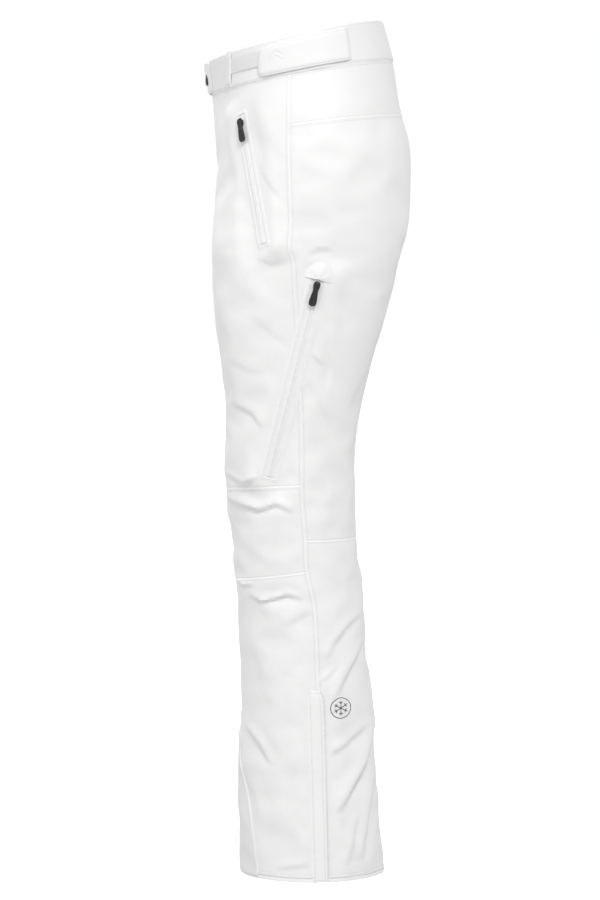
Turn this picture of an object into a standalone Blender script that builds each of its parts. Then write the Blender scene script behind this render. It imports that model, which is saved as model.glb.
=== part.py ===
"""Ski pants: an insulated shell trouser with zips, waist tabs and hem plackets.

Frame: metres, +Z up. The front faces -Y, the wearer's left leg is at +X, and the
origin is the centre of the waist opening. Every fabric piece is a thick patch of
one garment surface, whose points are given by a side (+1 left, -1 right), an angle
t (0 front, 90 outer side, 180 back, -90 or 270 inseam) and a height h.
"""
import math

import bmesh
import bpy
import numpy as np
from mathutils import Vector

MM = 0.001
GAP = 0.0003
SHELL = 0.002
BAND = 0.003

# height, front Y, back Y, leg centre X, half width, tilt of the level lines
SECTIONS = (
    (0.020, -0.1165, 0.1020, 0.0000, 0.1530, 0.250),
    (0.000, -0.1140, 0.1076, 0.0000, 0.1550, 0.235),
    (-0.048, -0.1076, 0.1217, 0.0000, 0.1600, 0.190),
    (-0.100, -0.1040, 0.1305, 0.0120, 0.1650, 0.140),
    (-0.150, -0.1004, 0.1420, 0.0340, 0.1530, 0.090),
    (-0.200, -0.1020, 0.1412, 0.0600, 0.1310, 0.040),
    (-0.235, -0.1036, 0.1380, 0.0815, 0.1090, 0.010),
    (-0.264, -0.1048, 0.1315, 0.0945, 0.0945, 0.000),
    (-0.300, -0.1038, 0.1217, 0.0975, 0.0905, 0.000),
    (-0.360, -0.1010, 0.1070, 0.0975, 0.0870, 0.000),
    (-0.420, -0.0938, 0.0913, 0.0970, 0.0825, 0.000),
    (-0.470, -0.0888, 0.0800, 0.0965, 0.0795, 0.000),
    (-0.520, -0.0905, 0.0738, 0.0960, 0.0775, 0.000),
    (-0.570, -0.0890, 0.0738, 0.0960, 0.0765, 0.000),
    (-0.620, -0.0825, 0.0750, 0.0960, 0.0760, 0.000),
    (-0.670, -0.0788, 0.0800, 0.0965, 0.0765, 0.000),
    (-0.720, -0.0740, 0.0850, 0.0970, 0.0775, 0.000),
    (-0.770, -0.0725, 0.0878, 0.0980, 0.0785, 0.000),
    (-0.820, -0.0713, 0.0935, 0.0990, 0.0795, 0.000),
    (-0.920, -0.0725, 0.1010, 0.1010, 0.0820, 0.000),
    (-1.045, -0.0713, 0.1100, 0.1040, 0.0850, 0.000),
    (-1.060, -0.0713, 0.1110, 0.1045, 0.0855, 0.000),
)
CROTCH_H = -0.264
BAND_H = -0.048
HEM_H = -1.045
YOKE_H = -0.112
CENTRE_X = 0.0004

# joints: points on the hinge axes, which all run along X
HIP = Vector((0.0, 0.0, -0.276))
KNEE = Vector((0.0, 0.011, -0.620))
HIP_FRONT = math.radians(18.0)
HIP_BACK = math.radians(5.5)
KNEE_BACK = math.radians(25.5)
HINGE_GAP = 0.005

# the outer side seam's Y at each height
SIDE_SEAM = (
    (0.020, -0.0086), (-0.203, -0.0086), (-0.2645, -0.0049), (-0.3085, -0.0024),
    (-0.4965, 0.0061), (-0.5777, 0.0070), (-0.620, 0.0105), (-0.660, 0.0125),
    (-0.7006, 0.0210), (-0.730, 0.0235), (-0.768, 0.0250), (-0.800, 0.0262),
    (-1.060, 0.0325),
)
KNEE_TOP = ((-95.0, -0.562), (0.0, -0.563), (45.0, -0.559), (100.0, -0.555))
KNEE_FOOT = ((-95.0, -0.668), (0.0, -0.677), (25.0, -0.674), (100.0, -0.6605))

# zips: where each line starts and ends, as Y and Z on the outer side
HAND_ZIP = ((-0.0682, -0.1035), (-0.0410, -0.2540))
THIGH_ZIP = ((0.0257, -0.3035), (-0.0332, -0.5400))
HEM_ZIP = ((0.0262, -0.8080), (0.0325, -1.0400))
FLAP_LINE = ((0.0135, -0.8080), (0.0198, -1.0400))

WHITE = (0.88, 0.88, 0.86)
OFF_WHITE = (0.80, 0.80, 0.79)
GREY = (0.62, 0.63, 0.64)
LINING = (0.70, 0.71, 0.72)
BLACK = (0.018, 0.018, 0.019)


# ---------------------------------------------------------------- the surface
def smooth(table, x):
    """Cubic curve through the (x, value) rows of a table, evaluated at x."""
    rows = sorted(table)
    xs = np.array([row[0] for row in rows])
    ys = np.array([row[1] for row in rows])
    slopes = np.gradient(ys, xs)
    x = np.clip(np.asarray(x, float), xs[0], xs[-1])
    i = np.clip(np.searchsorted(xs, x) - 1, 0, len(xs) - 2)
    step = xs[i + 1] - xs[i]
    f = (x - xs[i]) / step
    return ((2 * f**3 - 3 * f**2 + 1) * ys[i] + (f**3 - 2 * f**2 + f) * step * slopes[i]
            + (3 * f**2 - 2 * f**3) * ys[i + 1] + (f**3 - f**2) * step * slopes[i + 1])


def column(index):
    return [(row[0], row[index]) for row in SECTIONS]


def section(h):
    """Centre Y, half depth, centre X, half width and tilt at height h."""
    front = smooth(column(1), h)
    back = smooth(column(2), h)
    return ((front + back) / 2, (back - front) / 2, smooth(column(3), h),
            smooth(column(4), h), smooth(column(5), h))


def bare_point(side, t, h):
    """A point of the surface before it is flattened along the zips."""
    cy, ay, cx, ax, tilt = section(h)
    x = np.maximum(cx + ax * np.sin(t), np.where(h < CROTCH_H + 0.03, CENTRE_X, -1.0))
    y = cy - ay * np.cos(t)
    return np.stack([side * x, y, h + tilt * y], axis=-1)


def angle_at(y, h):
    """Outer angle t where the surface has this Y at height h."""
    cy, ay = section(h)[:2]
    return np.arccos(np.clip((cy - y) / ay, -1, 1))


def locate(y, z):
    """Angle and height of the outer surface's point at this Y and Z."""
    h = z
    for _ in range(6):
        h = z - section(h)[4] * y
    return angle_at(y, h), h


class Line:
    """A straight line laid on the outer surface: a zip or a hinge line."""

    def __init__(self, ends):
        (ya, za), (yb, zb) = ends
        first, middle, last = [locate(ya + f * (yb - ya), za + f * (zb - za))
                               for f in (0.0, 0.5, 1.0)]
        self.start = bare_point(1, *first)
        self.length = float(np.linalg.norm(bare_point(1, *last) - self.start))
        self.along = (bare_point(1, *last) - self.start) / self.length
        near = bare_point(1, middle[0] + 0.01, middle[1]) - bare_point(1, *middle)
        out = np.cross(near, self.along)
        self.out = out / np.linalg.norm(out) * (1 if out[0] > 0 else -1)
        self.across = np.cross(self.out, self.along)

    def mirrored(self, side):
        """Frame of this line on one side: start, along, out and across."""
        flip = np.array([side, 1, 1])
        return self.start * flip, self.along * flip, self.out * flip, self.across * flip


FLAT_LINES = [Line(HAND_ZIP), Line(THIGH_ZIP), Line(HEM_ZIP)]
HINGE_LINE = Line(FLAP_LINE)


def fade(x, full, none):
    """1 up to full, 0 from none on, smooth between."""
    f = np.clip((none - x) / (none - full), 0, 1)
    return f * f * (3 - 2 * f)


def flattened(points, side):
    """Press the surface flat under each zip, fading out all round it."""
    flip = np.stack([side, np.ones_like(side), np.ones_like(side)], axis=-1)
    points = points * flip
    for line in FLAT_LINES:
        offset = points - line.start
        along = offset @ line.along
        beyond = np.maximum(-along, along - line.length)
        near = fade(np.abs(offset @ line.across), 0.011, 0.042) * fade(beyond, 0.010, 0.035)
        height = offset @ line.out
        points = points - (height * near * (height > -0.05))[..., None] * line.out
    return points * flip


def surface(side, t, h, lift=0.0):
    """Garment surface moved out by lift along its level normal."""
    side, t, h = np.broadcast_arrays(np.asarray(side, float), t, h)
    step = 1e-3
    here = flattened(bare_point(side, t, h), side)
    ahead = flattened(bare_point(side, t + step, h), side)
    behind = flattened(bare_point(side, t - step, h), side)
    run = ahead - behind
    out = np.stack([-run[..., 1], run[..., 0], np.zeros_like(t)], axis=-1)
    out = out / np.maximum(np.linalg.norm(out, axis=-1, keepdims=True), 1e-12)
    away = np.sum(out[..., :2] * np.stack([side * np.sin(t), -np.cos(t)], axis=-1), axis=-1)
    return here + out * (np.sign(away) * lift)[..., None]


def front_edge(h, clear=GAP / 2):
    """Angle of the centre front or inseam at height h, a little in from it."""
    _, _, cx, ax, _ = section(h)
    inset = clear + fly_half(h)
    return -np.arcsin(np.clip((cx - inset) / ax, -1, 1)) * (h > CROTCH_H) + (
        (-math.pi / 2 + clear / ax) * (h <= CROTCH_H))


def fly_half(h):
    """Half width of the fly opening: open near the waist, closed below it."""
    f = np.clip((h + 0.200) / 0.020, 0, 1)
    return 0.006 * f * f * (3 - 2 * f)


def back_edge(h, clear=GAP / 2):
    """Angle of the centre back or inseam at height h, a little in from it."""
    _, _, cx, ax, _ = section(h)
    above = math.pi + np.arcsin(np.clip((cx - clear) / ax, -1, 1))
    return np.where(h > CROTCH_H, above, 1.5 * math.pi - clear / ax)


def seam(h, shift=0.0):
    """Angle of the outer side seam at height h, shifted along Y."""
    return angle_at(smooth(SIDE_SEAM, h) + shift, h)


# ---------------------------------------------------------------- mesh builders
def material(name, colour, roughness, metallic=0.0):
    mat = bpy.data.materials.new(name)
    mat.use_nodes = True
    shader = mat.node_tree.nodes["Principled BSDF"]
    shader.inputs["Base Color"].default_value = (*colour, 1.0)
    shader.inputs["Roughness"].default_value = roughness
    shader.inputs["Metallic"].default_value = metallic
    mat.diffuse_color = (*colour, 1.0)
    return mat


def add_object(name, vertices, faces, colour, roughness=0.85, metallic=0.0, origin=None):
    """One named object, its mesh facing out, its origin on its joint if it has one."""
    origin = Vector(origin if origin is not None else (0, 0, 0))
    mesh = bpy.data.meshes.new(name)
    mesh.from_pydata([Vector(v) - origin for v in vertices], [], faces)
    bm = bmesh.new()
    bm.from_mesh(mesh)
    bmesh.ops.recalc_face_normals(bm, faces=bm.faces)
    bm.to_mesh(mesh)
    bm.free()
    mesh.materials.append(material(name, colour, roughness, metallic))
    obj = bpy.data.objects.new(name, mesh)
    obj.location = origin
    bpy.context.scene.collection.objects.link(obj)
    return obj


def patch(name, where, rows, cols, lifts, colour, closed=False, origin=None, roughness=0.85):
    """A thick piece of the surface; where(u, v) gives side, t and h arrays."""
    width = cols if closed else cols + 1
    u = np.arange(width) / cols
    v = np.arange(rows + 1) / rows
    side, t, h = where(*np.meshgrid(u, v))
    outer = surface(side, t, h, max(lifts)).reshape(-1, 3)
    inner = surface(side, t, h, min(lifts)).reshape(-1, 3)
    count = len(outer)
    faces = []
    for r in range(rows):
        for c in range(cols):
            d = (c + 1) % width
            a, b = r * width + c, r * width + d
            e, f = a + width, b + width
            faces.append((a, b, f, e))
            faces.append((e + count, f + count, b + count, a + count))
    for r in (0, rows):
        for c in range(cols):
            a, b = r * width + c, r * width + (c + 1) % width
            faces.append((a, b, b + count, a + count))
    if not closed:
        for r in range(rows):
            for c in (0, cols):
                a, b = r * width + c, (r + 1) * width + c
                faces.append((a, b, b + count, a + count))
    return add_object(name, np.vstack([outer, inner]), faces, colour, roughness, origin=origin)


def prism(name, outline, frame, low, high, colour, origin=None, roughness=0.6, metallic=0.0):
    """An outline of (across, along) points, thick from low to high, in a frame."""
    start, along, out, across = frame
    vertices = [start + across * a + along * b + out * z for z in (low, high) for a, b in outline]
    n = len(outline)
    faces = [tuple(range(n)), tuple(range(n, 2 * n))]
    faces += [(i, (i + 1) % n, n + (i + 1) % n, n + i) for i in range(n)]
    return add_object(name, vertices, faces, colour, roughness, metallic, origin)


def sweep(name, profile, frame, begin, end, colour, origin=None, roughness=0.8, metallic=0.0):
    """A profile of (across, out) points run straight along a frame."""
    start, along, out, across = frame
    vertices = [start + across * a + out * z + along * s for s in (begin, end) for a, z in profile]
    n = len(profile)
    faces = [tuple(range(n)), tuple(range(n, 2 * n))]
    faces += [(i, (i + 1) % n, n + (i + 1) % n, n + i) for i in range(n)]
    return add_object(name, vertices, faces, colour, roughness, metallic, origin)


def turned(name, profile, centre, out, colour, origin=None, roughness=0.5, segments=20):
    """A solid of revolution: (radius, height) rows along the direction out."""
    out = Vector(out).normalized()
    right = out.orthogonal().normalized()
    up = out.cross(right)
    vertices = []
    for radius, height in profile:
        for i in range(segments):
            a = 2 * math.pi * i / segments
            vertices.append(Vector(centre) + out * height
                            + (right * math.cos(a) + up * math.sin(a)) * radius)
    rings = len(profile)
    faces = [tuple(range(segments)), tuple(range((rings - 1) * segments, rings * segments))]
    for r in range(rings - 1):
        for i in range(segments):
            j = (i + 1) % segments
            faces.append((r * segments + i, r * segments + j,
                          (r + 1) * segments + j, (r + 1) * segments + i))
    return add_object(name, vertices, faces, colour, roughness, origin=origin)


def span(side, left, right, top, foot):
    """Patch mapping between two angle edges and two height edges."""
    def where(u, v):
        h_top = top(u) if callable(top) else top + 0 * u
        h_foot = foot(u) if callable(foot) else foot + 0 * u
        h = h_top + (h_foot - h_top) * v
        a, b = left(h), right(h)
        return side + 0 * u, a + (b - a) * u, h
    return where


def cut(left, right, pivot, slope_front, slope_back, gap, guess):
    """Height edge lying in planes through a hinge axis, over a span of angles."""
    def edge(u):
        h = guess + 0 * u
        for _ in range(12):
            a, b = left(h), right(h)
            cy, ay, _, _, tilt = section(h)
            y = cy - ay * np.cos(a + (b - a) * u)
            rise = np.where(y < pivot.y, (pivot.y - y) * slope_front, (y - pivot.y) * slope_back)
            h = pivot.z + rise + gap - tilt * y
        return h
    return edge


def name_of(side, base):
    return f"{'left' if side > 0 else 'right'}_{base}"


# ---------------------------------------------------------------- zips
TAPE = ((-7.5, 0.3), (7.5, 0.3), (7.5, 1.3), (2.5, 1.3), (2.2, 2.1), (-2.2, 2.1),
        (-2.5, 1.3), (-7.5, 1.3))
SLIDER = ((-4.3, 1.6), (-4.3, 5.3), (-2.7, 5.3), (-2.7, 3.6), (2.7, 3.6), (2.7, 5.3),
          (4.3, 5.3), (4.3, 1.6), (3.0, 1.6), (3.0, 2.4), (-3.0, 2.4), (-3.0, 1.6))
SLIDER_LONG = 0.0105
AXIS_LIFT = 4.8
PULLER = ((-2.0, -0.6), (-1.2, -0.9), (1.2, -0.9), (2.0, -0.6), (2.2, 9.0), (4.4, 13.0),
          (4.7, 26.0), (3.4, 29.5), (0.0, 30.5), (-3.4, 29.5), (-4.7, 26.0), (-4.4, 13.0),
          (-2.2, 9.0))


def lifted(profile, lift):
    return [(a * MM, z * MM + lift) for a, z in profile]


def build_zip(prefix, frame, length, lift, tape_width=1.0):
    """Tape with its chain, slider at the start of the line and hanging puller."""
    start, along, out, across = frame
    tape = [(a * (tape_width if abs(a) > 3 else 1.0), z) for a, z in TAPE]
    sweep(prefix + "_zip", lifted(tape, lift), frame, -0.003, length + 0.003, GREY)
    sweep(prefix + "_slider", lifted(SLIDER, lift), frame, 0.0, SLIDER_LONG, BLACK,
          origin=start, roughness=0.35)
    pivot = start + along * 0.0018 + out * (AXIS_LIFT * MM + lift)
    outline = [(a * MM, b * MM) for a, b in PULLER]
    prism(prefix + "_puller", outline, (pivot, along, out, across), -0.7 * MM, 0.7 * MM,
          BLACK, origin=pivot, roughness=0.55)
    return pivot


# ---------------------------------------------------------------- waist
def ring_path(first, last):
    """Angles round the waist, from the left front over the back to the right front."""
    def where(u, v, top, foot):
        a = first + (2 * math.pi - last - first) * u
        side = np.where(a <= math.pi, 1.0, -1.0)
        return side, np.where(a <= math.pi, a, 2 * math.pi - a), top + (foot - top) * v
    return where


def build_waist():
    band = ring_path(math.asin(0.0004 / 0.155), math.asin(0.0004 / 0.155))
    patch("waistband", lambda u, v: band(u, v, 0.0, BAND_H), 2, 52, (0, -BAND), WHITE)
    facing = ring_path(math.radians(4), math.radians(4))
    patch("waistband_facing", lambda u, v: facing(u, v, -0.004, -0.044), 1, 40,
          (-BAND - 0.0010, -BAND - 0.0022), LINING)
    for side in (1, -1):
        strip = span(side, lambda h: angle_at(-0.0905, h), lambda h: angle_at(0.030, h),
                     -0.0095, -0.0300)
        patch(name_of(side, "loop_strip"), strip, 1, 16, (0.5 * MM, 1.1 * MM), GREY)
        loop = span(side, lambda h: angle_at(-0.0850, h), lambda h: angle_at(-0.0785, h),
                    0.0005, -0.0465)
        patch(name_of(side, "belt_loop"), loop, 3, 2, (1.3 * MM, 2.5 * MM), WHITE)
        rear = surface(side, angle_at(0.0640, -0.023), -0.023, 0.0030)
        tab = span(side, lambda h: angle_at(-0.0452, h),
                   lambda h: angle_at(0.0615 + (-0.003 - h) * 0.13, h),
                   lambda u: -0.0085 + 0.0045 * np.minimum(u * 1.6, 1),
                   lambda u: -0.0445 + 0.0015 * u)
        patch(name_of(side, "adjuster_tab"), tab, 1, 12, (1.4 * MM, 4.2 * MM), WHITE, origin=rear)
    build_waist_tab()

    def yoke_where(u, v):
        first = seam(BAND_H - 0.03) + 0.0012
        a = first + (2 * math.pi - 2 * first) * u
        side = np.where(a <= math.pi, 1.0, -1.0)
        h = BAND_H - GAP + (YOKE_H - BAND_H + GAP) * v
        turn = seam(h) + 0.0030
        share = np.abs(a - math.pi) / (math.pi - first)
        return side, math.pi - share * (math.pi - turn), h
    patch("back_yoke", yoke_where, 2, 26, (0, -SHELL), WHITE)


def build_waist_tab():
    """Overlapping end of the waistband with its snap: cap on the tab, stud below."""
    hinge_t = math.asin(0.024 / 0.157)
    free_t = math.asin(0.0430 / 0.157)
    hinge = surface(-1, hinge_t, -0.024, 0.0034)

    def where(u, v):
        a = -hinge_t + (free_t + hinge_t) * u
        drop = 0.003 * np.clip((u - 0.93) / 0.07, 0, 1) ** 2
        h = (-0.0015 - drop) + (-0.0460 + 2 * drop + 0.0015) * v
        return np.where(a >= 0, 1.0, -1.0), np.abs(a), h
    patch("waist_tab", where, 1, 10, (2.4 * MM, 4.4 * MM), WHITE, origin=hinge)
    snap_t = math.asin(0.0290 / 0.157)
    base = Vector(surface(1, snap_t, -0.0266))
    out = (Vector(surface(1, snap_t, -0.0266, 0.01)) - base).normalized()
    cap = [(5.2, 5.8), (7.5, 6.0), (7.7, 6.5), (7.0, 7.2), (4.5, 7.7)]
    turned("snap_cap", [(r * MM, z * MM) for r, z in cap], base, out, BLACK, origin=hinge)
    stud = [(5.4, 0.9), (5.4, 1.3), (3.4, 1.4), (3.4, 1.8)]
    turned("snap_stud", [(r * MM, z * MM) for r, z in stud], base, out, BLACK, roughness=0.4)


def build_fly():
    """Zip down the centre front with a shield behind it."""
    top = bare_point(1, 0.0, np.float64(-0.0525))
    foot = np.array([0.0, bare_point(1, front_edge(-0.178), np.float64(-0.178))[1], 0.0])
    foot[2] = bare_point(1, front_edge(-0.178), np.float64(-0.178))[2]
    length = float(np.linalg.norm(foot - top))
    along = (foot - top) / length
    across = np.array([1.0, 0.0, 0.0])
    out = np.cross(across, along)
    out = out * (1 if out[1] < 0 else -1)
    frame = (top, along, out, across)
    build_zip("fly", frame, length, -0.0062, 1.25)
    shield = ((-17, -2), (17, -2), (17, 105), (11, 120), (0, 126), (-11, 120), (-17, 105))
    prism("fly_shield", [(a * MM, b * MM) for a, b in shield], frame, -0.0078, -0.0066, LINING)


# ---------------------------------------------------------------- hips
def build_seat(side):
    hip_front = math.tan(HIP_FRONT)
    hip_back = math.tan(HIP_BACK)

    def left(h):
        return front_edge(h)

    def mid(h):
        return seam(h) - 0.0030

    def start(h):
        return seam(h) + 0.0030

    foot = cut(left, mid, HIP, hip_front, hip_back, HINGE_GAP / 2, -0.262)
    patch(name_of(side, "front_panel"), span(side, left, mid, BAND_H - GAP, foot),
          10, 12, (0, -SHELL), WHITE)
    foot = cut(start, back_edge, HIP, hip_front, hip_back, HINGE_GAP / 2, -0.262)
    patch(name_of(side, "seat_panel"), span(side, start, back_edge, YOKE_H - GAP, foot),
          6, 10, (0, -SHELL), WHITE)
    bag = span(side, lambda h: angle_at(-0.094, h), lambda h: angle_at(-0.030, h),
               -0.100, lambda u: -0.222 - 0.014 * np.sin(math.pi * u))
    patch(name_of(side, "pocket_bag"), bag, 5, 6, (-0.0040, -0.0050), LINING)
    line = FLAT_LINES[0]
    build_zip(name_of(side, "hand"), line.mirrored(side), line.length, 0.0004)


def build_folds(side):
    """Soft rings that bridge the wedge cut out at the hip and behind the knee."""
    def around(u):
        return -math.pi / 2 + 2 * math.pi * u

    def wedge(pivot, front, back, gap, guess):
        def edge(u):
            h = guess + 0 * u
            for _ in range(12):
                cy, ay, _, _, tilt = section(h)
                y = cy - ay * np.cos(around(u))
                rise = np.where(y < pivot.y, (pivot.y - y) * front, (y - pivot.y) * back)
                h = pivot.z + rise + gap - tilt * y
            return h
        return edge
    slack = HINGE_GAP / 2 - 0.0014
    front, back = math.tan(HIP_FRONT), math.tan(HIP_BACK)
    top = wedge(HIP, front, back, slack, HIP.z)
    foot = wedge(HIP, -front, -back, -slack, HIP.z)

    def hip(u, v):
        h = top(u) + (foot(u) - top(u)) * v
        return side + 0 * u, around(u), h
    patch(name_of(side, "hip_fold"), hip, 1, 40, (0, -SHELL), WHITE, closed=True,
          origin=(side * 0.0975, HIP.y, HIP.z))
    first, last = seam(KNEE.z) + 0.03, 1.5 * math.pi - 0.20

    def knee(u, v):
        t = first + (last - first) * u
        h = KNEE.z + 0 * u
        for _ in range(12):
            cy, ay = section(h)[:2]
            half = np.maximum(cy - ay * np.cos(t) - KNEE.y, 0) * math.tan(KNEE_BACK) + slack
            h = KNEE.z + half * (1 - 2 * v)
        return side + 0 * u, t, h
    patch(name_of(side, "knee_fold"), knee, 1, 22, (0, -SHELL), WHITE,
          origin=(side * 0.096, KNEE.y, KNEE.z))


# ---------------------------------------------------------------- legs
def inseam(h):
    return -math.pi / 2 + 0.002 + 0 * h


def inseam_back(h):
    return 1.5 * math.pi - 0.002 + 0 * h


def build_thigh(side):
    origin = (side * 0.0975, HIP.y, HIP.z)
    hip_front, hip_back = math.tan(HIP_FRONT), math.tan(HIP_BACK)

    def mid(h):
        return seam(h) - 0.0040

    def start(h):
        return seam(h) + 0.0040

    def knee_top(u):
        return smooth(KNEE_TOP, -90 + 180 * u)

    def knee_foot(u):
        return smooth(KNEE_FOOT, -90 + 180 * u)

    top = cut(inseam, mid, HIP, -hip_front, -hip_back, -HINGE_GAP / 2, -0.290)
    patch(name_of(side, "thigh_front"),
          span(side, inseam, mid, top, lambda u: knee_top(u) + GAP),
          12, 12, (0, -SHELL), WHITE, origin=origin)
    patch(name_of(side, "knee_panel"), span(side, inseam, mid, knee_top, knee_foot),
          3, 12, (0, -SHELL), WHITE, origin=origin)
    top = cut(start, inseam_back, HIP, -hip_front, -hip_back, -HINGE_GAP / 2, -0.278)
    foot = cut(start, inseam_back, KNEE, 0.0, math.tan(KNEE_BACK), HINGE_GAP / 2, -0.600)
    patch(name_of(side, "thigh_back"), span(side, start, inseam_back, top, foot),
          10, 12, (0, -SHELL), WHITE, origin=origin)
    line = FLAT_LINES[1]
    build_zip(name_of(side, "thigh"), line.mirrored(side), line.length, 0.0004)


def build_shin(side):
    origin = (side * 0.096, KNEE.y, KNEE.z)
    opening = 0.0072

    def shift(h):
        f = np.clip((-0.795 - h) / 0.012, 0, 1)
        return opening * f * f * (3 - 2 * f)

    def mid(h):
        return seam(h, -shift(h)) - 0.0040

    def start(h):
        return seam(h, shift(h)) + 0.0040

    def knee_foot(u):
        return smooth(KNEE_FOOT, -90 + 180 * u) - GAP

    patch(name_of(side, "shin"), span(side, inseam, mid, knee_foot, HEM_H),
          12, 12, (0, -SHELL), WHITE, origin=origin)
    top = cut(start, inseam_back, KNEE, 0.0, -math.tan(KNEE_BACK), -HINGE_GAP / 2, -0.640)
    patch(name_of(side, "calf"), span(side, start, inseam_back, top, HEM_H),
          12, 12, (0, -SHELL), WHITE, origin=origin)
    build_hem_zip(side)
    build_hem_flap(side)

    def cuff(u, v):
        return side + 0 * u, -math.pi / 2 + 2 * math.pi * u, -0.870 - 0.155 * v
    patch(name_of(side, "gaiter"), cuff, 1, 22, (-0.0115, -0.0128), LINING, closed=True,
          origin=origin)
    guard_edge = ((-0.865, 8.0), (-0.900, 14.0), (-0.950, 30.0), (-1.000, 39.0), (-1.050, 43.0))
    guard = span(side, lambda h: np.radians(-150.0) + 0 * h,
                 lambda h: np.radians(smooth(guard_edge, h)), -0.868, -1.0435)
    patch(name_of(side, "scuff_guard"), guard, 4, 20, (0.9 * MM, 1.7 * MM), OFF_WHITE,
          origin=origin)


def build_hem_zip(side):
    """Zip set behind the gap in the outer leg, closed with its slider at the hem."""
    line = FLAT_LINES[2]
    start, along, out, across = line.mirrored(side)
    lift = -0.0062
    frame = (start, along, out, across)
    tape = [(a * (1.3 if abs(a) > 3 else 1.0), z) for a, z in TAPE]
    sweep(name_of(side, "hem_zip"), lifted(tape, lift), frame, 0.003, line.length + 0.002, GREY)
    low = line.length - SLIDER_LONG - 0.001
    rest = start + along * low
    sweep(name_of(side, "hem_slider"), lifted(SLIDER, lift), frame, low, low + SLIDER_LONG,
          BLACK, origin=rest, roughness=0.35)
    lug = [(a * MM, b * MM) for a, b in PULLER]
    hang = (rest + along * 0.0095 + out * (AXIS_LIFT * MM + lift), -along, out, across)
    prism(name_of(side, "hem_puller"), lug, hang, -0.6 * MM, 0.6 * MM, BLACK, origin=rest,
          roughness=0.55)


def build_hem_flap(side):
    """Placket over the hem zip, sewn along its front line and free at its back."""
    start, along, out, across = HINGE_LINE.mirrored(side)
    middle = start + along * HINGE_LINE.length / 2 + out * 0.0016

    def where(u, v):
        z = -0.8075 - 0.2365 * v
        f = (z - FLAP_LINE[0][1]) / (FLAP_LINE[1][1] - FLAP_LINE[0][1])
        first = FLAP_LINE[0][0] + f * (FLAP_LINE[1][0] - FLAP_LINE[0][0])
        y = first + (0.0178 - 0.003 * np.clip(1 - v * 10, 0, 1) ** 2) * u
        return side + 0 * u, angle_at(y, z), z
    patch(name_of(side, "hem_flap"), where, 4, 2, (1.0 * MM, 2.4 * MM), WHITE, origin=middle)


def build():
    for old in list(bpy.data.objects):
        bpy.data.objects.remove(old, do_unlink=True)
    build_waist()
    build_fly()
    for side in (1, -1):
        build_seat(side)
        build_folds(side)
        build_thigh(side)
        build_shin(side)


build()
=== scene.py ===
"""Looks for the ski pants: sewn fabric panels, zips, tabs, placket and trims over the CAD frame."""
import math

import bmesh
import bpy
import numpy as np
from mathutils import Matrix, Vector


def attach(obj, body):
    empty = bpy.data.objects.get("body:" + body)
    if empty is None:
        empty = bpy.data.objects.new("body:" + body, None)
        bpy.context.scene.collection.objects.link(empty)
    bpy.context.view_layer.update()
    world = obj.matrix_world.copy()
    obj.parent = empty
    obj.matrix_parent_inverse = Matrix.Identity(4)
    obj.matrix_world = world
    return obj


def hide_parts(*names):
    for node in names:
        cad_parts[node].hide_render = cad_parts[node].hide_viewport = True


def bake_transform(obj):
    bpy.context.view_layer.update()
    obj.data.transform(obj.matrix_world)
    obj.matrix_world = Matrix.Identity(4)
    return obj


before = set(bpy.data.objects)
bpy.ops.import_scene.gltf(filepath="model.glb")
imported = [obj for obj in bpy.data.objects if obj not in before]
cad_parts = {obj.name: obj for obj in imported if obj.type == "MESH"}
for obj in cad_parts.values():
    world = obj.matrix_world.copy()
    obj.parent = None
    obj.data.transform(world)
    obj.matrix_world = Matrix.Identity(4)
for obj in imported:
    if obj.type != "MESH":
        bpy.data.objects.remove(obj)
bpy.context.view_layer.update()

MM = 0.001
PI = math.pi
SIDES = ((1, "left"), (-1, "right"))
SEWN = (True, True, True, True)
LOOSE = (False, False, False, False)

# ---- garment surface
# height, front Y, back Y, leg centre X, half width, tilt of the level lines
SECTIONS = (
    (0.020, -0.1165, 0.1020, 0.0000, 0.1530, 0.250),
    (0.000, -0.1140, 0.1076, 0.0000, 0.1550, 0.235),
    (-0.048, -0.1076, 0.1217, 0.0000, 0.1600, 0.190),
    (-0.100, -0.1040, 0.1305, 0.0120, 0.1650, 0.140),
    (-0.150, -0.1004, 0.1420, 0.0340, 0.1530, 0.090),
    (-0.200, -0.1020, 0.1412, 0.0600, 0.1310, 0.040),
    (-0.235, -0.1036, 0.1380, 0.0815, 0.1090, 0.010),
    (-0.264, -0.1048, 0.1315, 0.0945, 0.0945, 0),
    (-0.300, -0.1038, 0.1217, 0.0975, 0.0905, 0),
    (-0.360, -0.1010, 0.1070, 0.0975, 0.0870, 0),
    (-0.420, -0.0938, 0.0913, 0.0970, 0.0825, 0),
    (-0.470, -0.0888, 0.0800, 0.0965, 0.0795, 0),
    (-0.520, -0.0905, 0.0738, 0.0960, 0.0775, 0),
    (-0.570, -0.0890, 0.0738, 0.0960, 0.0765, 0),
    (-0.620, -0.0825, 0.0750, 0.0960, 0.0760, 0),
    (-0.670, -0.0788, 0.0800, 0.0965, 0.0765, 0),
    (-0.720, -0.0740, 0.0850, 0.0970, 0.0775, 0),
    (-0.770, -0.0725, 0.0878, 0.0980, 0.0785, 0),
    (-0.820, -0.0713, 0.0935, 0.0990, 0.0795, 0),
    (-0.920, -0.0725, 0.1010, 0.1010, 0.0820, 0),
    (-1.045, -0.0713, 0.1100, 0.1040, 0.0850, 0),
    (-1.060, -0.0713, 0.1110, 0.1045, 0.0855, 0),
)
COLUMNS = [[(row[0], row[k]) for row in SECTIONS] for k in range(1, 6)]
CROTCH_H = -0.264
BAND_H = -0.048
YOKE_H = -0.112
SPLIT_H = -0.450
BACK_KNEE_H = -0.624
HEM_H = -1.0445
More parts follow.
